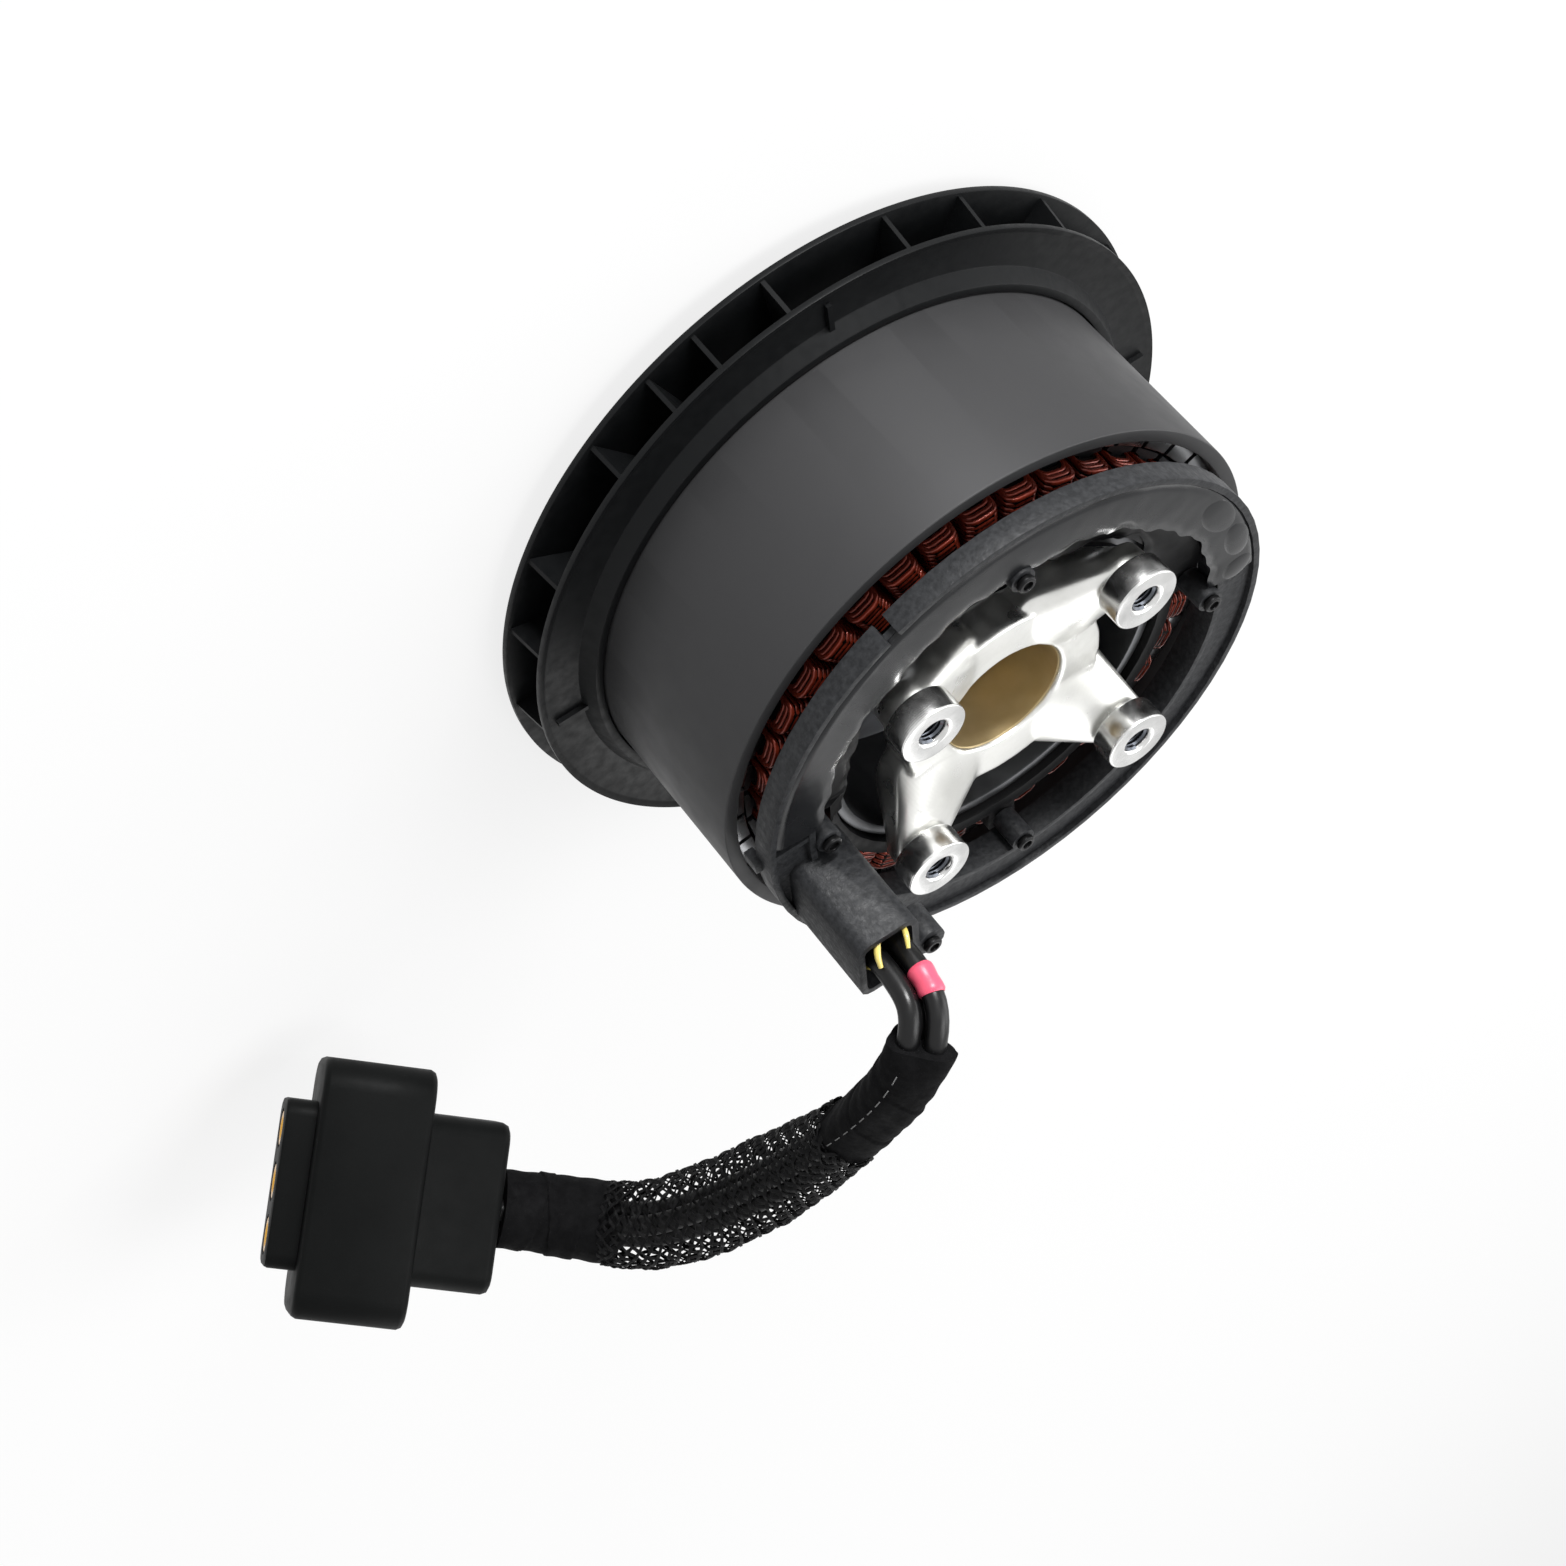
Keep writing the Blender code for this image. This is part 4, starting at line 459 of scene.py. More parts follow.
def seam_stitches(finishes):
    """Short grey stitches of the seam along the front tape."""
    stitches = []
    for start in np.arange(TAPE_FRONT_SPAN[0] + 4.0, TAPE_FRONT_SPAN[1] - 3.0, STITCH_PITCH):
        line, frames, at, _ = harness_line(start, start + STITCH_LENGTH, 7)
        turn = math.radians(SEAM_ANGLE) + 0.008 * (at - TAPE_FRONT_SPAN[0])
        reach = 6.12 + 0.14 * np.sin(np.linspace(0, np.pi, 7))
        spot = line + round_line(frames, reach, turn)
        stitches.append(closed_tube(tube_points(spot * MM, 0.11 * MM, 6)))
    return stand_in(joined("tape_seam_stitches", stitches, finishes["thread"], 60), "stator")


def braided_sleeve(finishes):
    """Open braid: strands of three filaments that cross over and under each other."""
    line, frames, at, _ = harness_line(TAPE_FRONT_SPAN[1] - 3.0, TAPE_REAR_START + 1.5, 190)
    share = (at - at[0]) / (at[-1] - at[0])
    radius = np.interp(share, SLEEVE_SHARES, SLEEVE_RADII)
    radius = radius + 0.1 * np.sin(at * 0.8) + 0.08 * np.sin(at * 0.37) - 0.45
    generator = np.random.default_rng(11)
    corners = 2 * np.pi * np.arange(STRAND_SIDES) / STRAND_SIDES
    items = []
    for hand, name in ((1, "braid_right_hand"), (-1, "braid_left_hand")):
        parts = []
        for index in range(BRAID_CARRIERS):
            first = int(generator.uniform(0, 8))
            turn = hand * 2 * np.pi * at / BRAID_PITCH + 2 * np.pi * index / BRAID_CARRIERS
            turn = turn + generator.normal(0, 0.012) + 0.012 * np.sin(at * 0.9 + index)
            weave = hand * np.cos(BRAID_CARRIERS * 2 * np.pi * at / BRAID_PITCH + np.pi * index)
            for filament in (-1, 0, 1):
                wide = turn + filament * 1.9 * STRAND_RADIUS / radius
                reach = radius + 0.2 * weave
                rows = []
                for corner in corners:
                    lift = reach + STRAND_RADIUS * np.sin(corner)
                    swing = wide + 1.25 * STRAND_RADIUS * np.cos(corner) / radius
                    rows.append(line + round_line(frames, lift, swing))
                parts.append(closed_tube(np.stack(rows, axis=1)[first:] * MM))
        nodes = ["braided_sleeve"] if hand == 1 else []
        items.append(stand_in(joined(name, parts, finishes["yarn"], 80), "stator", *nodes))
    return items


# Connector: the same places as part.py
CONNECTOR_BACK = Vector((114.63, 93.85, 44.9))
CONNECTOR_AXIS = Vector((0.771, -0.318, -0.552)).normalized()
CONNECTOR_LONG = Vector((0.637, 0.42, 0.647))
BACK_SIZE = (15.7, 33.4, 20.0)
FLANGE_SIZE = (21.8, 50.2, 26.0)
INSERT_SIZE = (5.8, 32.6, 15.0)
CONTACT_PITCH = 10.3
CONTACT_RADIUS = 3.8
CUP_RADIUS = 3.95


def connector_place(distance):
    """Matrix from the connector's own frame in mm to the part's frame in metres."""
    long_side = (CONNECTOR_LONG - CONNECTOR_AXIS * CONNECTOR_LONG.dot(CONNECTOR_AXIS)).normalized()
    thick = CONNECTOR_AXIS.cross(long_side)
    turn = Matrix((long_side, thick, CONNECTOR_AXIS)).transposed().to_4x4()
    return Matrix.Scale(MM, 4) @ Matrix.Translation(CONNECTOR_BACK + CONNECTOR_AXIS * distance) @ turn


def box_outline(length, width, radius, steps=8):
    """Outline of a rectangle with round corners about the origin."""
    points = []
    for sx, sy, start in ((1, 1, 0), (-1, 1, 90), (-1, -1, 180), (1, -1, 270)):
        for step in range(steps + 1):
            a = math.radians(start + 90 * step / steps)
            points.append((sx * (length / 2 - radius) + radius * math.cos(a),
                           sy * (width / 2 - radius) + radius * math.sin(a)))
    return np.array(points)


def loft(levels, place):
    """Vertices and faces of a body through outlines: levels of (height, long, thick, radius)."""
    return closed_tube(np.array([
        [place @ Vector((*point, height)) for point in box_outline(*size)] for height, *size in levels
    ]))


def connector(finishes):
    """Housing with its flange, front insert and three sockets."""
    place = connector_place(0.0)
    deep, long_side, thick = BACK_SIZE
    body = loft([
        (0.0, long_side - 3.0, thick - 3.0, 3.0), (0.5, long_side - 1.0, thick - 1.0, 3.5),
        (1.6, long_side, thick, 4.0), (deep - 0.2, long_side, thick, 4.0),
        (deep + 0.1, long_side + 0.4, thick + 0.4, 4.2),
    ], place)
    top = deep + FLANGE_SIZE[0]
    _, long_side, thick = FLANGE_SIZE
    edge = [(height, long_side - cut, thick - cut, corner)
            for height, cut, corner in ((0.0, 2.6, 5.0), (0.4, 0.9, 5.7), (1.3, 0.0, 6.0))]
    wide = loft([(deep + height, *rest) for height, *rest in edge]
                + [(top - height, *rest) for height, *rest in reversed(edge)], place)
    housing = joined("connector_shell", [body, wide], finishes["rubber"], 50)
    stand_in(housing, "stator", "connector_housing")
    front = connector_place(top + 0.05)
    face = insert_with_cups(finishes, front)
    contacts = [socket_contact(finishes, front, number) for number in (-1, 0, 1)]
    return [housing, face, *contacts]


def insert_with_cups(finishes, place):
    """Front insert with a rounded edge and three cups for the contacts."""
    deep, long_side, thick = INSERT_SIZE
    height = deep + 0.2
    outline = box_outline(long_side, thick, 3.0)
    rows = []
    for z, inset in ((0.0, 0.0), (height - 0.8, 0.0), (height - 0.2, 0.25), (height, 0.9)):
        scale = (1 - 2 * inset / long_side, 1 - 2 * inset / thick)
        rows.append([(*(p * scale), z) for p in outline])
    item = joined("connector_face", [closed_tube(np.array(rows))], finishes["rubber"])
    for number in (-1, 0, 1):
        centre = (CONTACT_PITCH * number, 0.0)
        cutter = lathe("cutter", rod(CUP_RADIUS, 0.6, 9.0), finishes["rubber"], 48, centre)
        cutter.scale = (1 / MM, 1 / MM, 1 / MM)  # the insert is still in millimetres
        carve(item, cutter)
    item.data.transform(place)
    tidy_mesh(item.data, 40)
    return stand_in(item, "stator", "connector_insert")


def carve(item, cutter, operation="DIFFERENCE"):
    """Applies one exact boolean and removes the cutter."""
    modifier = item.modifiers.new("carve", "BOOLEAN")
    modifier.operation = operation
    modifier.solver = "EXACT"
    modifier.object = cutter
    apply_modifiers(item)
    bpy.data.objects.remove(cutter, do_unlink=True)


def apply_modifiers(item):
    """Bakes the item's modifiers into its mesh."""
    bpy.context.view_layer.update()
    graph = bpy.context.evaluated_depsgraph_get()
    mesh = bpy.data.meshes.new_from_object(item.evaluated_get(graph))
    item.modifiers.clear()
    item.data = mesh


def socket_contact(finishes, place, number):
    """Gold-plated socket with a rounded mouth."""
    deep = INSERT_SIZE[0] + 0.12
    hole, outer = 1.9, CONTACT_RADIUS
    profile = rounded([(hole, 1.0), (hole, deep - 0.5), (hole + 0.5, deep), (outer - 0.5, deep),
                       (outer, deep - 0.5), (outer, 0.7), (0.001, 0.7), (0.001, 1.0)], 0.2, 2)
    rows = lathe_points(profile, 40, centre=(CONTACT_PITCH * number, 0.0)) / MM
    points = [place @ Vector(p) for p in rows.reshape(-1, 3)]
    item = add_mesh(f"gold_socket_{number + 2}", points, turned_faces(profile, 40), finishes["gold"], 40)
    return stand_in(item, "stator", f"socket_contact_{number + 2}")


# Aluminium mount: the bearing seats' tube, the stack's seat, the plate and the bosses of part.py
BORE_RADIUS = 12.6
BEARING_STOP_RADIUS = 10.8
TUBE_RADIUS = 17.0
TUBE_BOTTOM_Z, TUBE_TOP_Z = 13.5, 51.5
WEB_BOTTOM_Z, WEB_TOP_Z = 30.0, 34.0
SEAT_RADII = (33.8, 36.0)
SEAT_BOTTOM_Z, SEAT_TOP_Z = 18.0, 56.4
PLATE_RADIUS = 21.4
PLATE_TOP_Z = 59.3
ARM_FOOT_REACH = 17.6
ARM_FOOT_RADIUS = 11.6
ARM_TIP_RADIUS = 5.7
BOSS_REACH = 32.0
BOSS_ANGLES = (45, 135, 225, 315)
BOSS_RADIUS = 6.6
BOSS_BOTTOM_Z, BOSS_TOP_Z = 64.5, 69.7
NECK_RADIUS = 5.3
THREAD_RADII = (2.74, 2.3)  # major and minor
THREAD_BOTTOM_Z = 57.8
THREAD_PITCH = 0.8


def hull_of(points):
    """A convex body round a list of points in metres."""
    mesh = bpy.data.meshes.new("hull")
    builder = bmesh.new()
    for point in points:
        builder.verts.new(point)
    bmesh.ops.convex_hull(builder, input=builder.verts[:])
    bmesh.ops.delete(builder, geom=[v for v in builder.verts if not v.link_faces], context="VERTS")
    builder.to_mesh(mesh)
    builder.free()
    item = bpy.data.objects.new("hull", mesh)
    scene.collection.objects.link(item)
    return item


def ring_points(angle, reach, radius, height, count=48):
    """A level circle of points about a place on an arm's line."""
    x, y = polar(reach, angle)
    turns = 2 * np.pi * np.arange(count) / count
    return [((x + radius * math.cos(a)) * MM, (y + radius * math.sin(a)) * MM, height * MM) for a in turns]


def mount_head(finishes):
    """Plate with four leaning arms, blended as milled with a ball cutter."""
    metal = finishes["milled"]
    profile = [(BORE_RADIUS, 49.5), (BORE_RADIUS, PLATE_TOP_Z), (PLATE_RADIUS, PLATE_TOP_Z),
               (PLATE_RADIUS, 51.5), (TUBE_RADIUS, 49.5)]
    plate = lathe("mount_head", rounded(profile, 0.6), metal)
    for angle in BOSS_ANGLES:
        points = []
        for height in (52.0, 57.0):
            points += ring_points(angle, ARM_FOOT_REACH, ARM_FOOT_RADIUS, height)
        for height in (61.4, 63.8):
            points += ring_points(angle, BOSS_REACH - 0.3, ARM_TIP_RADIUS, height)
        carve(plate, hull_of(points), "UNION")
        neck = lathe("neck", rod(NECK_RADIUS, 60.0, 66.0), metal, 48, polar(BOSS_REACH, angle))
        carve(plate, neck, "UNION")
    for angle in BOSS_ANGLES:
        carve(plate, lathe("hole", rod(2.7, 57.6, 68.0), metal, 32, polar(BOSS_REACH, angle)))
    carve(plate, lathe("bore", rod(BORE_RADIUS, 40.0, 70.0), metal))
    remesh = plate.modifiers.new("blend", "REMESH")
    remesh.mode = "VOXEL"
    remesh.voxel_size = 0.42 * MM
    smooth = plate.modifiers.new("polish", "SMOOTH")
    smooth.factor = 0.5
    smooth.iterations = 7
    thin = plate.modifiers.new("thin", "DECIMATE")
    thin.ratio = 0.5
    apply_modifiers(plate)
    plate.data.materials.clear()
    plate.data.materials.append(metal)
    tidy_mesh(plate.data, 60)
    return stand_in(plate, "stator", "stator_mount")


def polar(radius, degrees):
    """The (x, y) place at a radius and an angle."""
    return (radius * math.cos(math.radians(degrees)), radius * math.sin(math.radians(degrees)))


def mount_body(finishes):
    """Bearing tube, web and the tube on which the stack sits."""
    seat, stop = 12.3, BEARING_STOP_RADIUS
    inner, outer = SEAT_RADII
    profile = [
        (seat, TUBE_BOTTOM_Z), (seat, 20.3), (stop, 20.3), (stop, 35.7), (seat, 35.7), (seat, 42.3),
        (BORE_RADIUS, 42.3), (BORE_RADIUS, TUBE_TOP_Z), (TUBE_RADIUS, TUBE_TOP_Z),
        (TUBE_RADIUS, WEB_TOP_Z), (inner, WEB_TOP_Z), (inner, SEAT_TOP_Z), (outer, SEAT_TOP_Z),
        (outer, SEAT_BOTTOM_Z), (inner, SEAT_BOTTOM_Z), (inner, WEB_BOTTOM_Z),
        (TUBE_RADIUS, WEB_BOTTOM_Z), (TUBE_RADIUS, TUBE_BOTTOM_Z),
    ]
    # painted shade: these tubes take the darkened seat finish, which stands in for their shade
    body = lathe("mount_body", rounded(profile, 0.35, 2), finishes["seat"], 192)
    return stand_in(body, "stator", "stator_mount")


def boss_collars(finishes):
    """Faced collars on the four bosses, with countersunk threaded holes."""
    hole = 2.75
    outer = rounded([(hole, BOSS_BOTTOM_Z), (BOSS_RADIUS, BOSS_BOTTOM_Z), (BOSS_RADIUS, BOSS_TOP_Z),
                     (hole + 0.6, BOSS_TOP_Z), (hole, BOSS_TOP_Z - 0.6)], 0.4)
    parts, threads = [], []
    for angle in BOSS_ANGLES:
        place = polar(BOSS_REACH, angle)
        parts.append((lathe_points(outer, 96, centre=place).reshape(-1, 3), turned_faces(outer, 96)))
        threads.append(thread_wall(place, BOSS_TOP_Z - 0.5))
    stand_in(joined("boss_collars", parts, finishes["turned"], 40), "stator", "stator_mount")
    stand_in(joined("boss_threads", threads, finishes["insert"], 50), "stator", "stator_mount")


def thread_wall(centre, top):
    """Helical internal thread as one strip wound up the hole, closed behind."""
    major, minor = THREAD_RADII
    tooth = ((major, 0.02), (minor, 0.42), (minor, 0.56), (major, 0.98))  # radius, share of the pitch
    turns = (top - THREAD_BOTTOM_Z) / THREAD_PITCH
    steps = int(turns * 28)
    rows = []
    for i in range(steps + 1):
        turn = 2 * math.pi * turns * i / steps
        height = THREAD_BOTTOM_Z + (top - THREAD_BOTTOM_Z - THREAD_PITCH) * i / steps
        c, s = math.cos(turn), math.sin(turn)
        rows.append([((centre[0] + r * c) * MM, (centre[1] + r * s) * MM, (height + h * THREAD_PITCH) * MM)
                     for r, h in tooth])
    return closed_tube(np.array(rows))


def bore_lining(finishes):
    """Bronze-tinted wall of the bore above the upper bearing."""
    profile = rounded([(12.35, 42.6), (12.35, 58.3), (12.55, 58.6), (12.58, 42.6)], 0.05, 1)
    return stand_in(lathe("bore_lining", profile, finishes["bronze"], 160), "stator")


# Windings: each coil is wound on one of the stack's teeth
TOOTH_COUNT = 36
COIL_HALF_WIDTH = 2.92
COIL_BOTTOM_Z, COIL_TOP_Z = 13.3, 53.65
COIL_CORNER = 1.6
COIL_REACH = (40.8, 47.85)
COIL_LANES = 7
COIL_WIRE_RADIUS = 0.54
COIL_WIRE_SIDES = 8


def coil_wires(finishes, phase):
    """Turns of enamelled wire over the varnished coils of one phase."""
    number = "uvw".index(phase)
    centre = np.array([0.0, (COIL_BOTTOM_Z + COIL_TOP_Z) / 2])
    loop = centre + box_outline(2 * COIL_HALF_WIDTH, COIL_TOP_Z - COIL_BOTTOM_Z, COIL_CORNER, 3)
    tangent = np.roll(loop, -1, axis=0) - np.roll(loop, 1, axis=0)
    tangent /= np.linalg.norm(tangent, axis=1)[:, None]
    normal = np.stack([tangent[:, 1], -tangent[:, 0]], axis=1)
    normal *= np.sign(np.sum(normal * (loop - centre), axis=1))[:, None]
    turns = 2 * np.pi * np.arange(COIL_WIRE_SIDES) / COIL_WIRE_SIDES
    rise, swing = COIL_WIRE_RADIUS * np.cos(turns)[:, None], COIL_WIRE_RADIUS * np.sin(turns)[:, None]
    # one layer on the coil, and two more below it at each end of the tooth
    lanes = [(reach, 0.0) for reach in np.linspace(*COIL_REACH, COIL_LANES)]
    lanes += [(reach, -1.06 * layer) for reach in COIL_REACH for layer in (1, 2)]
    faces = grid_faces(len(loop), COIL_WIRE_SIDES, True, True)
    up = np.array([0.0, 0.0, 1.0])
    generator = np.random.default_rng(7 + number)
    parts = []
    for tooth in range(number, TOOTH_COUNT, 3):
        angle = 2 * math.pi * tooth / TOOTH_COUNT
        outward = np.array([math.cos(angle), math.sin(angle), 0.0])
        across = np.array([-math.sin(angle), math.cos(angle), 0.0])
        direction = across * normal[:, :1] + up * normal[:, 1:]
        for reach, sunk in lanes:
            lift = sunk + generator.uniform(-0.06, 0.08)
            base = outward * (reach + generator.uniform(-0.05, 0.05))
            lane = loop + normal * max(lift, -0.06)
            lane[:, 1] += min(lift, 0.0) * np.sign(loop[:, 1] - centre[1])
            middle = base + across * lane[:, :1] + up * lane[:, 1:]
            ring = middle[:, None] + direction[:, None] * rise + outward * swing
            parts.append((ring.reshape(-1, 3) * MM, faces))
    item = joined(f"coil_wires_{phase}", parts, finishes["copper"], 80)
    return stand_in(item, "stator")


# Resin
CHANNEL_OUTER_RADIUS = 52.62
CHANNEL_WALL_RADIUS = 45.9  # outside of the channel's inner wall
CHANNEL_FLOOR_Z = 62.75
CHANNEL_RIM_Z = 63.82


def pool(name, angles, reach, height, underside, material, node_name):
    """A closed sheet of set resin from grids of radii and heights over a row of angles."""
    top = np.stack([reach * np.cos(angles), reach * np.sin(angles), height], axis=2)
    low = top.copy()
    low[:, :, 2] = underside
    ring = np.concatenate([top, low[:, ::-1]], axis=1) * MM
    return stand_in(joined(name, [closed_tube(ring)], material, 50), "stator", node_name)


def poured_resin(finishes):
    """Resin that fills the near half of the channel and laps over its inner wall."""
    angles = np.radians(np.linspace(-6.5, -176.5, 360))[:, None]
    share = np.linspace(0, 1, 14)
    wave = np.sin(angles * 23) * 0.35 + np.sin(angles * 51 + 1.3) * 0.25 + np.sin(angles * 9 + 0.5) * 0.5
    inner = np.clip(43.0 + wave * 0.9, 42.2, 44.3)
    reach = inner + (CHANNEL_OUTER_RADIUS - inner) * share
    height = 63.95 + 0.16 * np.sin(share * np.pi) + 0.03 * np.sin(angles * 11 + share * 4)
    height -= 0.55 * np.exp(-((share - 1.0) / 0.05) ** 2)
    height -= 0.35 * np.exp(-(share / 0.1) ** 2)
    underside = np.where(reach > CHANNEL_WALL_RADIUS, CHANNEL_FLOOR_Z, CHANNEL_RIM_Z)
    underside = np.minimum(underside, height - 0.03)
    return pool("poured_resin", angles, reach, height, underside, finishes["resin"], "potting_compound")


def resin_lobes(finishes):
    """Rounded lobes where the resin set at the far end of the pour."""
    parts = []
    around = np.linspace(0, 2 * math.pi, 40, endpoint=False)
    level = np.linspace(0.02, 1.0, 9)[:, None] * math.pi / 2
    width = np.cos(level) + 0.02
    for reach, degrees, deep, wide, rise in (
        (49.0, -150.5, 3.3, 6.8, 0.62), (49.3, -164.0, 3.0, 5.6, 0.7), (48.4, -174.0, 3.6, 3.4, 0.6),
    ):
        turn = math.radians(degrees)
        c, s = math.cos(turn), math.sin(turn)
        out, across = reach + deep * width * np.cos(around), wide * width * np.sin(around)
        height = np.broadcast_to(63.75 + rise * np.sin(level), out.shape)
        parts.append(closed_tube(np.stack([c * out - s * across, s * out + c * across, height], axis=2) * MM))
    return stand_in(joined("resin_lobes", parts, finishes["resin"], 60), "stator")


def resin_apron(finishes):
    """Resin that ran over the insulator and the seat's rim, with a ragged inner edge."""
    degrees = np.linspace(3.5, -171.5, 340)[:, None]
    angles = np.radians(degrees)
    share = np.linspace(0, 1, 16)
    wave = 0.9 * np.sin(angles * 7 + 0.8) + 0.5 * np.sin(angles * 17) + 0.3 * np.sin(angles * 41 + 1.0)
    near_lug = sum(np.exp(-((degrees - lug) / 5.5) ** 2) for lug in (0, -90, -180))
    near_arm = sum(np.exp(-((degrees - arm) / 13.0) ** 2) for arm in (-45, -135))
    inner = np.clip(34.2 + 0.9 * wave + 2.6 * np.clip(near_arm * 1.6, 0, 1), 33.5, 39.0)
    outer = 44.05 - 5.2 * (near_lug > 0.55)
    reach = inner + (outer - inner) * share
    height = 58.9 + 1.4 * share**1.6 + 0.16 * np.sin(angles * 19 + share * 4) * (1 - share)
    height = np.clip(height - 0.75 * np.exp(-(share / 0.09) ** 2), 58.2, 60.38)
    # it lies on the seat's rim and on the insulator
    underside = np.where(reach < SEAT_RADII[1] + 0.2, SEAT_TOP_Z + 0.2, 58.12)
    return pool("resin_apron_run", angles, reach, height, underside, finishes["spill"], "resin_apron")


def duct_resin(finishes):
    """Resin plug in the duct with a sunk, uneven surface, and threads of glue on it."""
    outline = box_outline(9.4, 13.2, 1.2, 4)
    rows = [np.insert(ROUTE[0][:2] + outline * scale, 2, height, axis=1)
            for height, scale in ((63.8, 1.0), (79.4, 1.0), (79.9, 0.93), (79.6, 0.6), (79.3, 0.2))]
    plug = joined("duct_resin", [closed_tube(np.array(rows) * MM)], finishes["resin"], 50)
    stand_in(plug, "stator", "duct_potting")
    threads = []
    for points, radius in (
        (((39.0, 8.2, 80.0), (39.6, 7.0, 82.4), (40.4, 6.3, 84.6), (41.4, 7.0, 86.6)), 0.5),
        (((43.4, 6.4, 80.0), (44.9, 6.4, 82.2), (46.4, 7.2, 84.4), (46.9, 8.8, 86.0)), 0.6),
        (((47.6, 15.6, 80.2), (47.8, 13.4, 82.0), (47.2, 11.2, 84.4), (46.0, 10.2, 87.0)), 0.38),
        (((39.4, 15.2, 80.2), (39.0, 13.4, 82.6), (40.2, 12.0, 85.6)), 0.34),
    ):
        line = smooth_line(points, 14) * MM
        radii = radius * MM * (0.7 + 0.4 * np.abs(np.sin(np.linspace(0, 3, 14))))
        threads.append(closed_tube(tube_points(line, radii, 10)))
    stand_in(joined("glue_threads", threads, finishes["glue"], 60), "stator")


def hex_screws(finishes):
    """Small socket-head screws of the cover and the duct's lug."""
    shank, head, socket = 1.1, 1.8, 0.95
    places = [(f"cover_screw_{i + 1}", polar(42.0, 90 * i), 64.8, 56.0) for i in range(4)]
    places.append(("duct_screw", (34.6, 17.0), 83.5, 77.5))
    for name, place, seat, tip in places:
        profile = [(0.001, tip), (shank, tip), (shank, seat), (head, seat), (head, seat + 0.8),
                   (head - 0.3, seat + 1.1), (socket + 0.05, seat + 1.1), (socket, seat + 0.4),
                   (0.001, seat + 0.4)]
        item = lathe(f"{name}_head", rounded(profile, 0.12, 2), finishes["black_steel"], 36, place)
        stand_in(item, "stator", name)


# Rotor: bell, magnets and fan, turned finely
ROTOR_STEPS = 320
BELL_RADII = (54.3, 57.0)
BELL_BOTTOM_Z, BELL_TOP_Z = 5.2, 54.5
MAGNET_COUNT = 40
MAGNET_ANGLE = 7.6
MAGNET_BOTTOM_Z, MAGNET_TOP_Z = 16.0, 51.0
WINDOW_COUNT = 16
VANE_ANGLES = (4.35, 16.55, 37.05, 50.85, 68.85)  # each side of the symmetry line, as seen
VANE_SYMMETRY_ANGLE = -65.8
VANE_SIDE_ANGLE = 88.2
VANE_HALF_THICKNESS = 0.42


def upright_plate(outline, half, degrees):
    """Vertices and faces of a plate along a radius from an outline of (radius, height) in mm."""
    c, s = math.cos(math.radians(degrees)), math.sin(math.radians(degrees))
    rings = [[(r * c - side * s, r * s + side * c, z) for r, z in outline] for side in (-half, half)]
    return closed_tube(np.array(rings) * MM)


def upright_box(reach, half, height, degrees):
    """Vertices and faces of a box along a radius; reach and height are in mm."""
    return upright_plate([(reach[0], height[0]), (reach[1], height[0]),
                          (reach[1], height[1]), (reach[0], height[1])], half, degrees)


def rotor_bell(finishes):
    """Bell tube with a broken rim edge and air windows, and the magnets bonded inside it."""
    inner, outer = BELL_RADII
    profile = [(inner, BELL_BOTTOM_Z), (outer, BELL_BOTTOM_Z), (outer, BELL_TOP_Z), (inner, BELL_TOP_Z)]
    tube = lathe("bell_tube", rounded(profile, 0.4), finishes["bell"], ROTOR_STEPS)
    windows = [upright_box((51.0, 60.0), 7.0, (8.0, 12.1), 360 * i / WINDOW_COUNT)
               for i in range(WINDOW_COUNT)]
    carve(tube, joined("windows", windows, finishes["bell"], 30))
    tidy_mesh(tube.data, 30)
    stand_in(tube, "rotor", "rotor_bell")
    pitch = 360 / MAGNET_COUNT
    face, back = 50.62, inner - 0.02
    section = rounded([(face, MAGNET_BOTTOM_Z), (back, MAGNET_BOTTOM_Z), (back, MAGNET_TOP_Z),
                       (face, MAGNET_TOP_Z)], 0.3, 2)
    magnets = [closed_tube(lathe_points(section, 8, i * pitch + (pitch - MAGNET_ANGLE) / 2, MAGNET_ANGLE))
               for i in range(MAGNET_COUNT)]
    stand_in(joined("arc_magnets", magnets, finishes["magnet"], 30), "rotor")


def fan(finishes):
    """Fan disc, shroud with its collar, thin vanes with slanted ends, and four ribs."""
    parts = []
    for profile in (
        [(46.0, 3.6), (70.5, 3.6), (70.5, 4.9), (46.0, 4.9)],
        [(57.3, 12.5), (69.0, 12.5), (69.0, 13.8), (67.7, 13.3), (60.6, 13.3), (58.9, 16.4), (57.3, 16.4)],
    ):
        profile = rounded(profile, 0.22, 2)
        parts.append((lathe_points(profile, ROTOR_STEPS).reshape(-1, 3), turned_faces(profile, ROTOR_STEPS)))
    half = [sign * a for a in VANE_ANGLES for sign in (1, -1)] + [VANE_SIDE_ANGLE]
    for degrees in (VANE_SYMMETRY_ANGLE + a + side for a in half for side in (0, 180)):
        outline = [(57.9, 4.4), (69.9, 4.4), (68.75, 13.0), (57.9, 13.0)]
        parts.append(upright_plate(outline, VANE_HALF_THICKNESS, degrees))
    for quarter in range(4):
        parts.append(upright_box((58.9, 66.4), 0.5, (12.7, 14.3), 2.0 + 90 * quarter))
    stand_in(joined("fan_moulding", parts, finishes["fan"], 30), "rotor", "fan_ring")


# CAD nodes that show as they are, with their edges broken and their finish
EDGE_ANGLE = 32.0


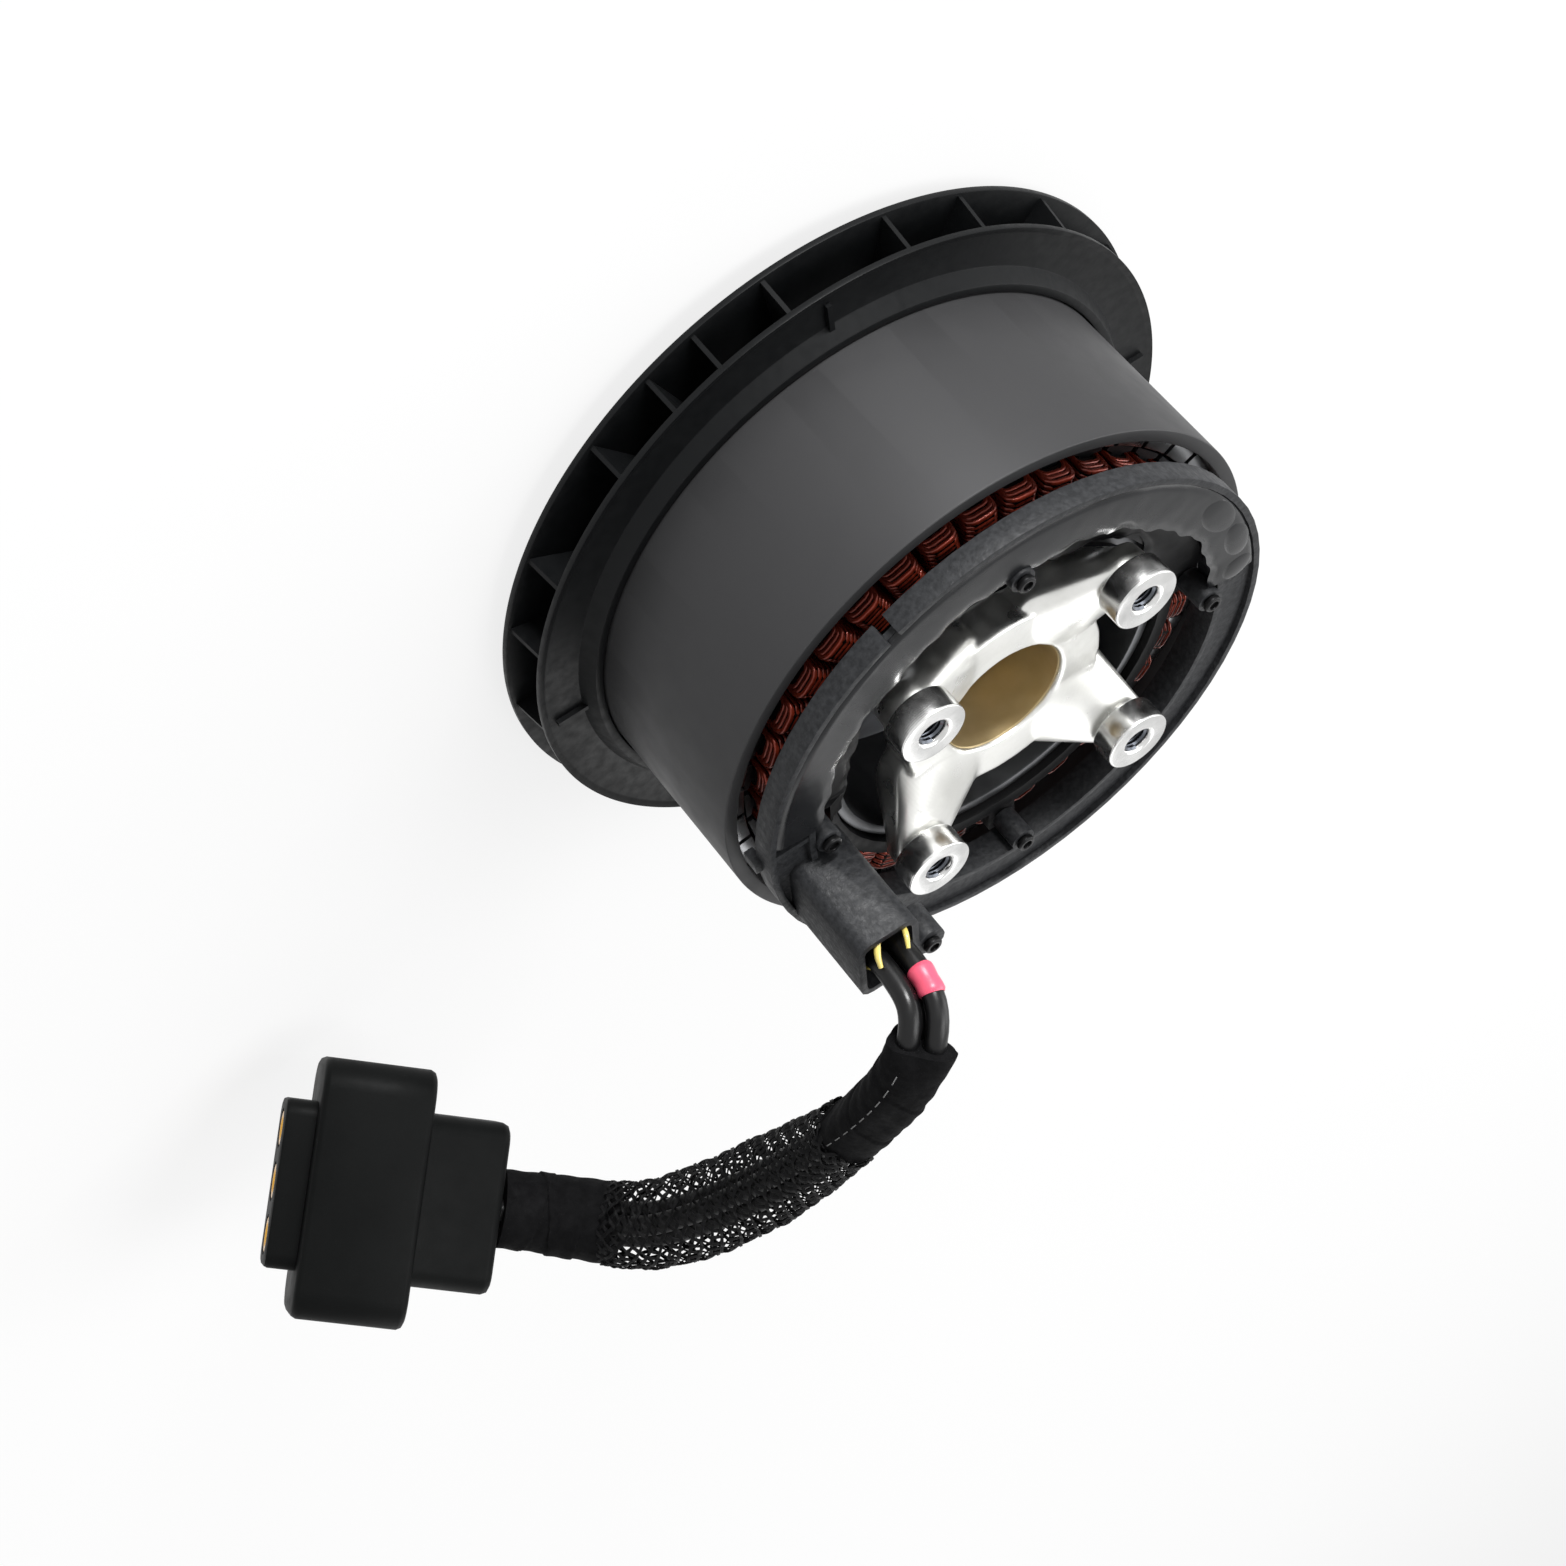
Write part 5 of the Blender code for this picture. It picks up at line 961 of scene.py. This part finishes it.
def dress(name, material, bevel=0.0):
    """Welds, breaks the edges of and paints a CAD node; the bevel is in mm."""
    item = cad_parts[name]
    weld = item.modifiers.new("weld", "WELD")
    weld.merge_threshold = 1e-6
    if bevel:
        edge = item.modifiers.new("edge", "BEVEL")
        edge.width = bevel * MM
        edge.segments = 2
        edge.limit_method = "ANGLE"
        edge.angle_limit = math.radians(EDGE_ANGLE)
    item.data.materials.clear()
    item.data.materials.append(material)
    item.data.polygons.foreach_set("material_index", [0] * len(item.data.polygons))
    item.modifiers.new("smooth", "NODES").node_group = smooth_by_angle()


def smooth_by_angle():
    """The node group that shades smooth except at edges over the edge angle; it is made once."""
    group = bpy.data.node_groups.get("smooth_by_angle")
    if group is None:
        group = bpy.data.node_groups.new("smooth_by_angle", "GeometryNodeTree")
        for way in ("INPUT", "OUTPUT"):
            group.interface.new_socket("Geometry", in_out=way, socket_type="NodeSocketGeometry")
        shape = node(group, "NodeGroupInput").outputs["Geometry"]
        between = node(group, "GeometryNodeInputMeshEdgeAngle").outputs["Unsigned Angle"]
        small = node(group, "FunctionNodeCompare", {"A": between, "B": math.radians(EDGE_ANGLE)},
                     operation="LESS_EQUAL").outputs["Result"]
        for domain, smooth in (("FACE", True), ("EDGE", small)):
            shape = node(group, "GeometryNodeSetShadeSmooth", {"Geometry": shape, "Shade Smooth": smooth},
                         domain=domain).outputs["Geometry"]
        node(group, "NodeGroupOutput", {"Geometry": shape})
    return group


def dress_cad(finishes):
    """Finishes of the CAD nodes that stay in view."""
    dress("rotor_spider", finishes["spider"], 0.3)
    dress("rotor_shaft", finishes["bronze"])
    dress("shaft_circlip", finishes["black_steel"], 0.1)
    dress("cover_ring", finishes["cover"], 0.25)
    dress("stator_core", finishes["steel_stack"])
    for place in ("lower", "upper"):
        dress(f"end_insulator_{place}", finishes["insulator"], 0.2)
        dress(f"bearing_ball_cage_{place}", finishes["steel"])
        for side in ("inner", "outer"):
            dress(f"bearing_{side}_ring_{place}", finishes["steel"], 0.15)
    for phase in "uvw":
        # the varnished coil bodies, darkened as painted shade in the grooves between the wire turns
        dress(f"winding_phase_{phase}", finishes["varnish_and_groove_shade"], 0.15)
    for index in range(4):
        dress(f"fan_screw_{index + 1}", finishes["black_steel"], 0.1)


# Floor and light
FLOOR_HALF = 6.0
FLOOR_WHITE = 0.8  # share of plain white in the floor that camera and mirror rays see
WORLD_LIGHT = 0.34
LAMPS = (  # name, place, target, size and power
    ("key", (-0.5, -0.3, 1.15), (0.0, 0.0, 0.04), (0.8, 0.8), 9.0),
    ("side", (-0.3, -1.08, 0.12), (0.0, 0.0, 0.03), (0.45, 0.2), 17.0),
    ("fill", (-1.0, 0.05, 0.6), (0.0, 0.0, 0.04), (0.8, 0.6), 4.5),
    ("rim", (0.1, 1.0, 0.8), (0.03, 0.05, 0.04), (0.8, 0.8), 3.0),
)


def seen_white(tree, own, share=1.0):
    """Mixes the shader with plain white for camera, mirror and clear rays, and returns the mix."""
    path = node(tree, "ShaderNodeLightPath")
    seen = path.outputs["Is Camera Ray"]
    for kind in ("Is Glossy Ray", "Is Transmission Ray"):
        seen = node(tree, "ShaderNodeMath", {0: seen, 1: path.outputs[kind]}, operation="ADD",
                    use_clamp=True).outputs["Value"]
    part = node(tree, "ShaderNodeMath", {0: seen, 1: share}, operation="MULTIPLY")
    white = node(tree, "ShaderNodeEmission", {"Color": (1.0, 1.0, 1.0, 1.0), "Strength": 1.0})
    mixed = node(tree, "ShaderNodeMixShader", {
        "Fac": part.outputs["Value"], 1: own, 2: white.outputs["Emission"],
    })
    return mixed.outputs["Shader"]


def studio():
    """White floor and world, with soft lamps above and to the sides."""
    floor = bpy.data.meshes.new("studio_floor")
    corners = [(x * FLOOR_HALF, y * FLOOR_HALF, -0.2 * MM) for x, y in ((-1, -1), (1, -1), (1, 1), (-1, 1))]
    floor.from_pydata(corners, [], [(0, 1, 2, 3)])
    item = bpy.data.objects.new("studio_floor", floor)
    scene.collection.objects.link(item)
    material = bpy.data.materials.new("white_sweep")
    material.use_nodes = True
    tree = material.node_tree
    shader = tree.nodes["Principled BSDF"]
    shader.inputs["Base Color"].default_value = (0.93, 0.93, 0.93, 1.0)
    shader.inputs["Roughness"].default_value = 0.8
    shader.inputs["Specular IOR Level"].default_value = 0.1
    white = seen_white(tree, shader.outputs["BSDF"], FLOOR_WHITE)
    tree.links.new(white, tree.nodes["Material Output"].inputs["Surface"])
    floor.materials.append(material)
    world = bpy.data.worlds.new("studio")
    world.use_nodes = True
    tree = world.node_tree
    background = tree.nodes["Background"]
    background.inputs["Color"].default_value = (1.0, 1.0, 1.0, 1.0)
    background.inputs["Strength"].default_value = WORLD_LIGHT
    white = seen_white(tree, background.outputs["Background"])
    tree.links.new(white, tree.nodes["World Output"].inputs["Surface"])
    scene.world = world
    for name, place, target, size, power in LAMPS:
        data = bpy.data.lights.new(name, "AREA")
        data.shape = "RECTANGLE"
        data.size, data.size_y = size
        data.energy = power
        lamp = bpy.data.objects.new(name, data)
        lamp.location = place
        lamp.rotation_euler = (Vector(target) - Vector(place)).to_track_quat("-Z", "Y").to_euler()
        scene.collection.objects.link(lamp)
    scene.view_settings.view_transform = "Standard"


def build():
    """Makes the whole scene."""
    place_camera()
    finishes = make_finishes()
    for make in (build_harness, dress_cad, rotor_bell, fan,
                 mount_body, mount_head, boss_collars, bore_lining):
        make(finishes)
    for phase in "uvw":
        coil_wires(finishes, phase)
    for make in (poured_resin, resin_apron, resin_lobes, duct_resin, hex_screws):
        make(finishes)
    studio()


build()
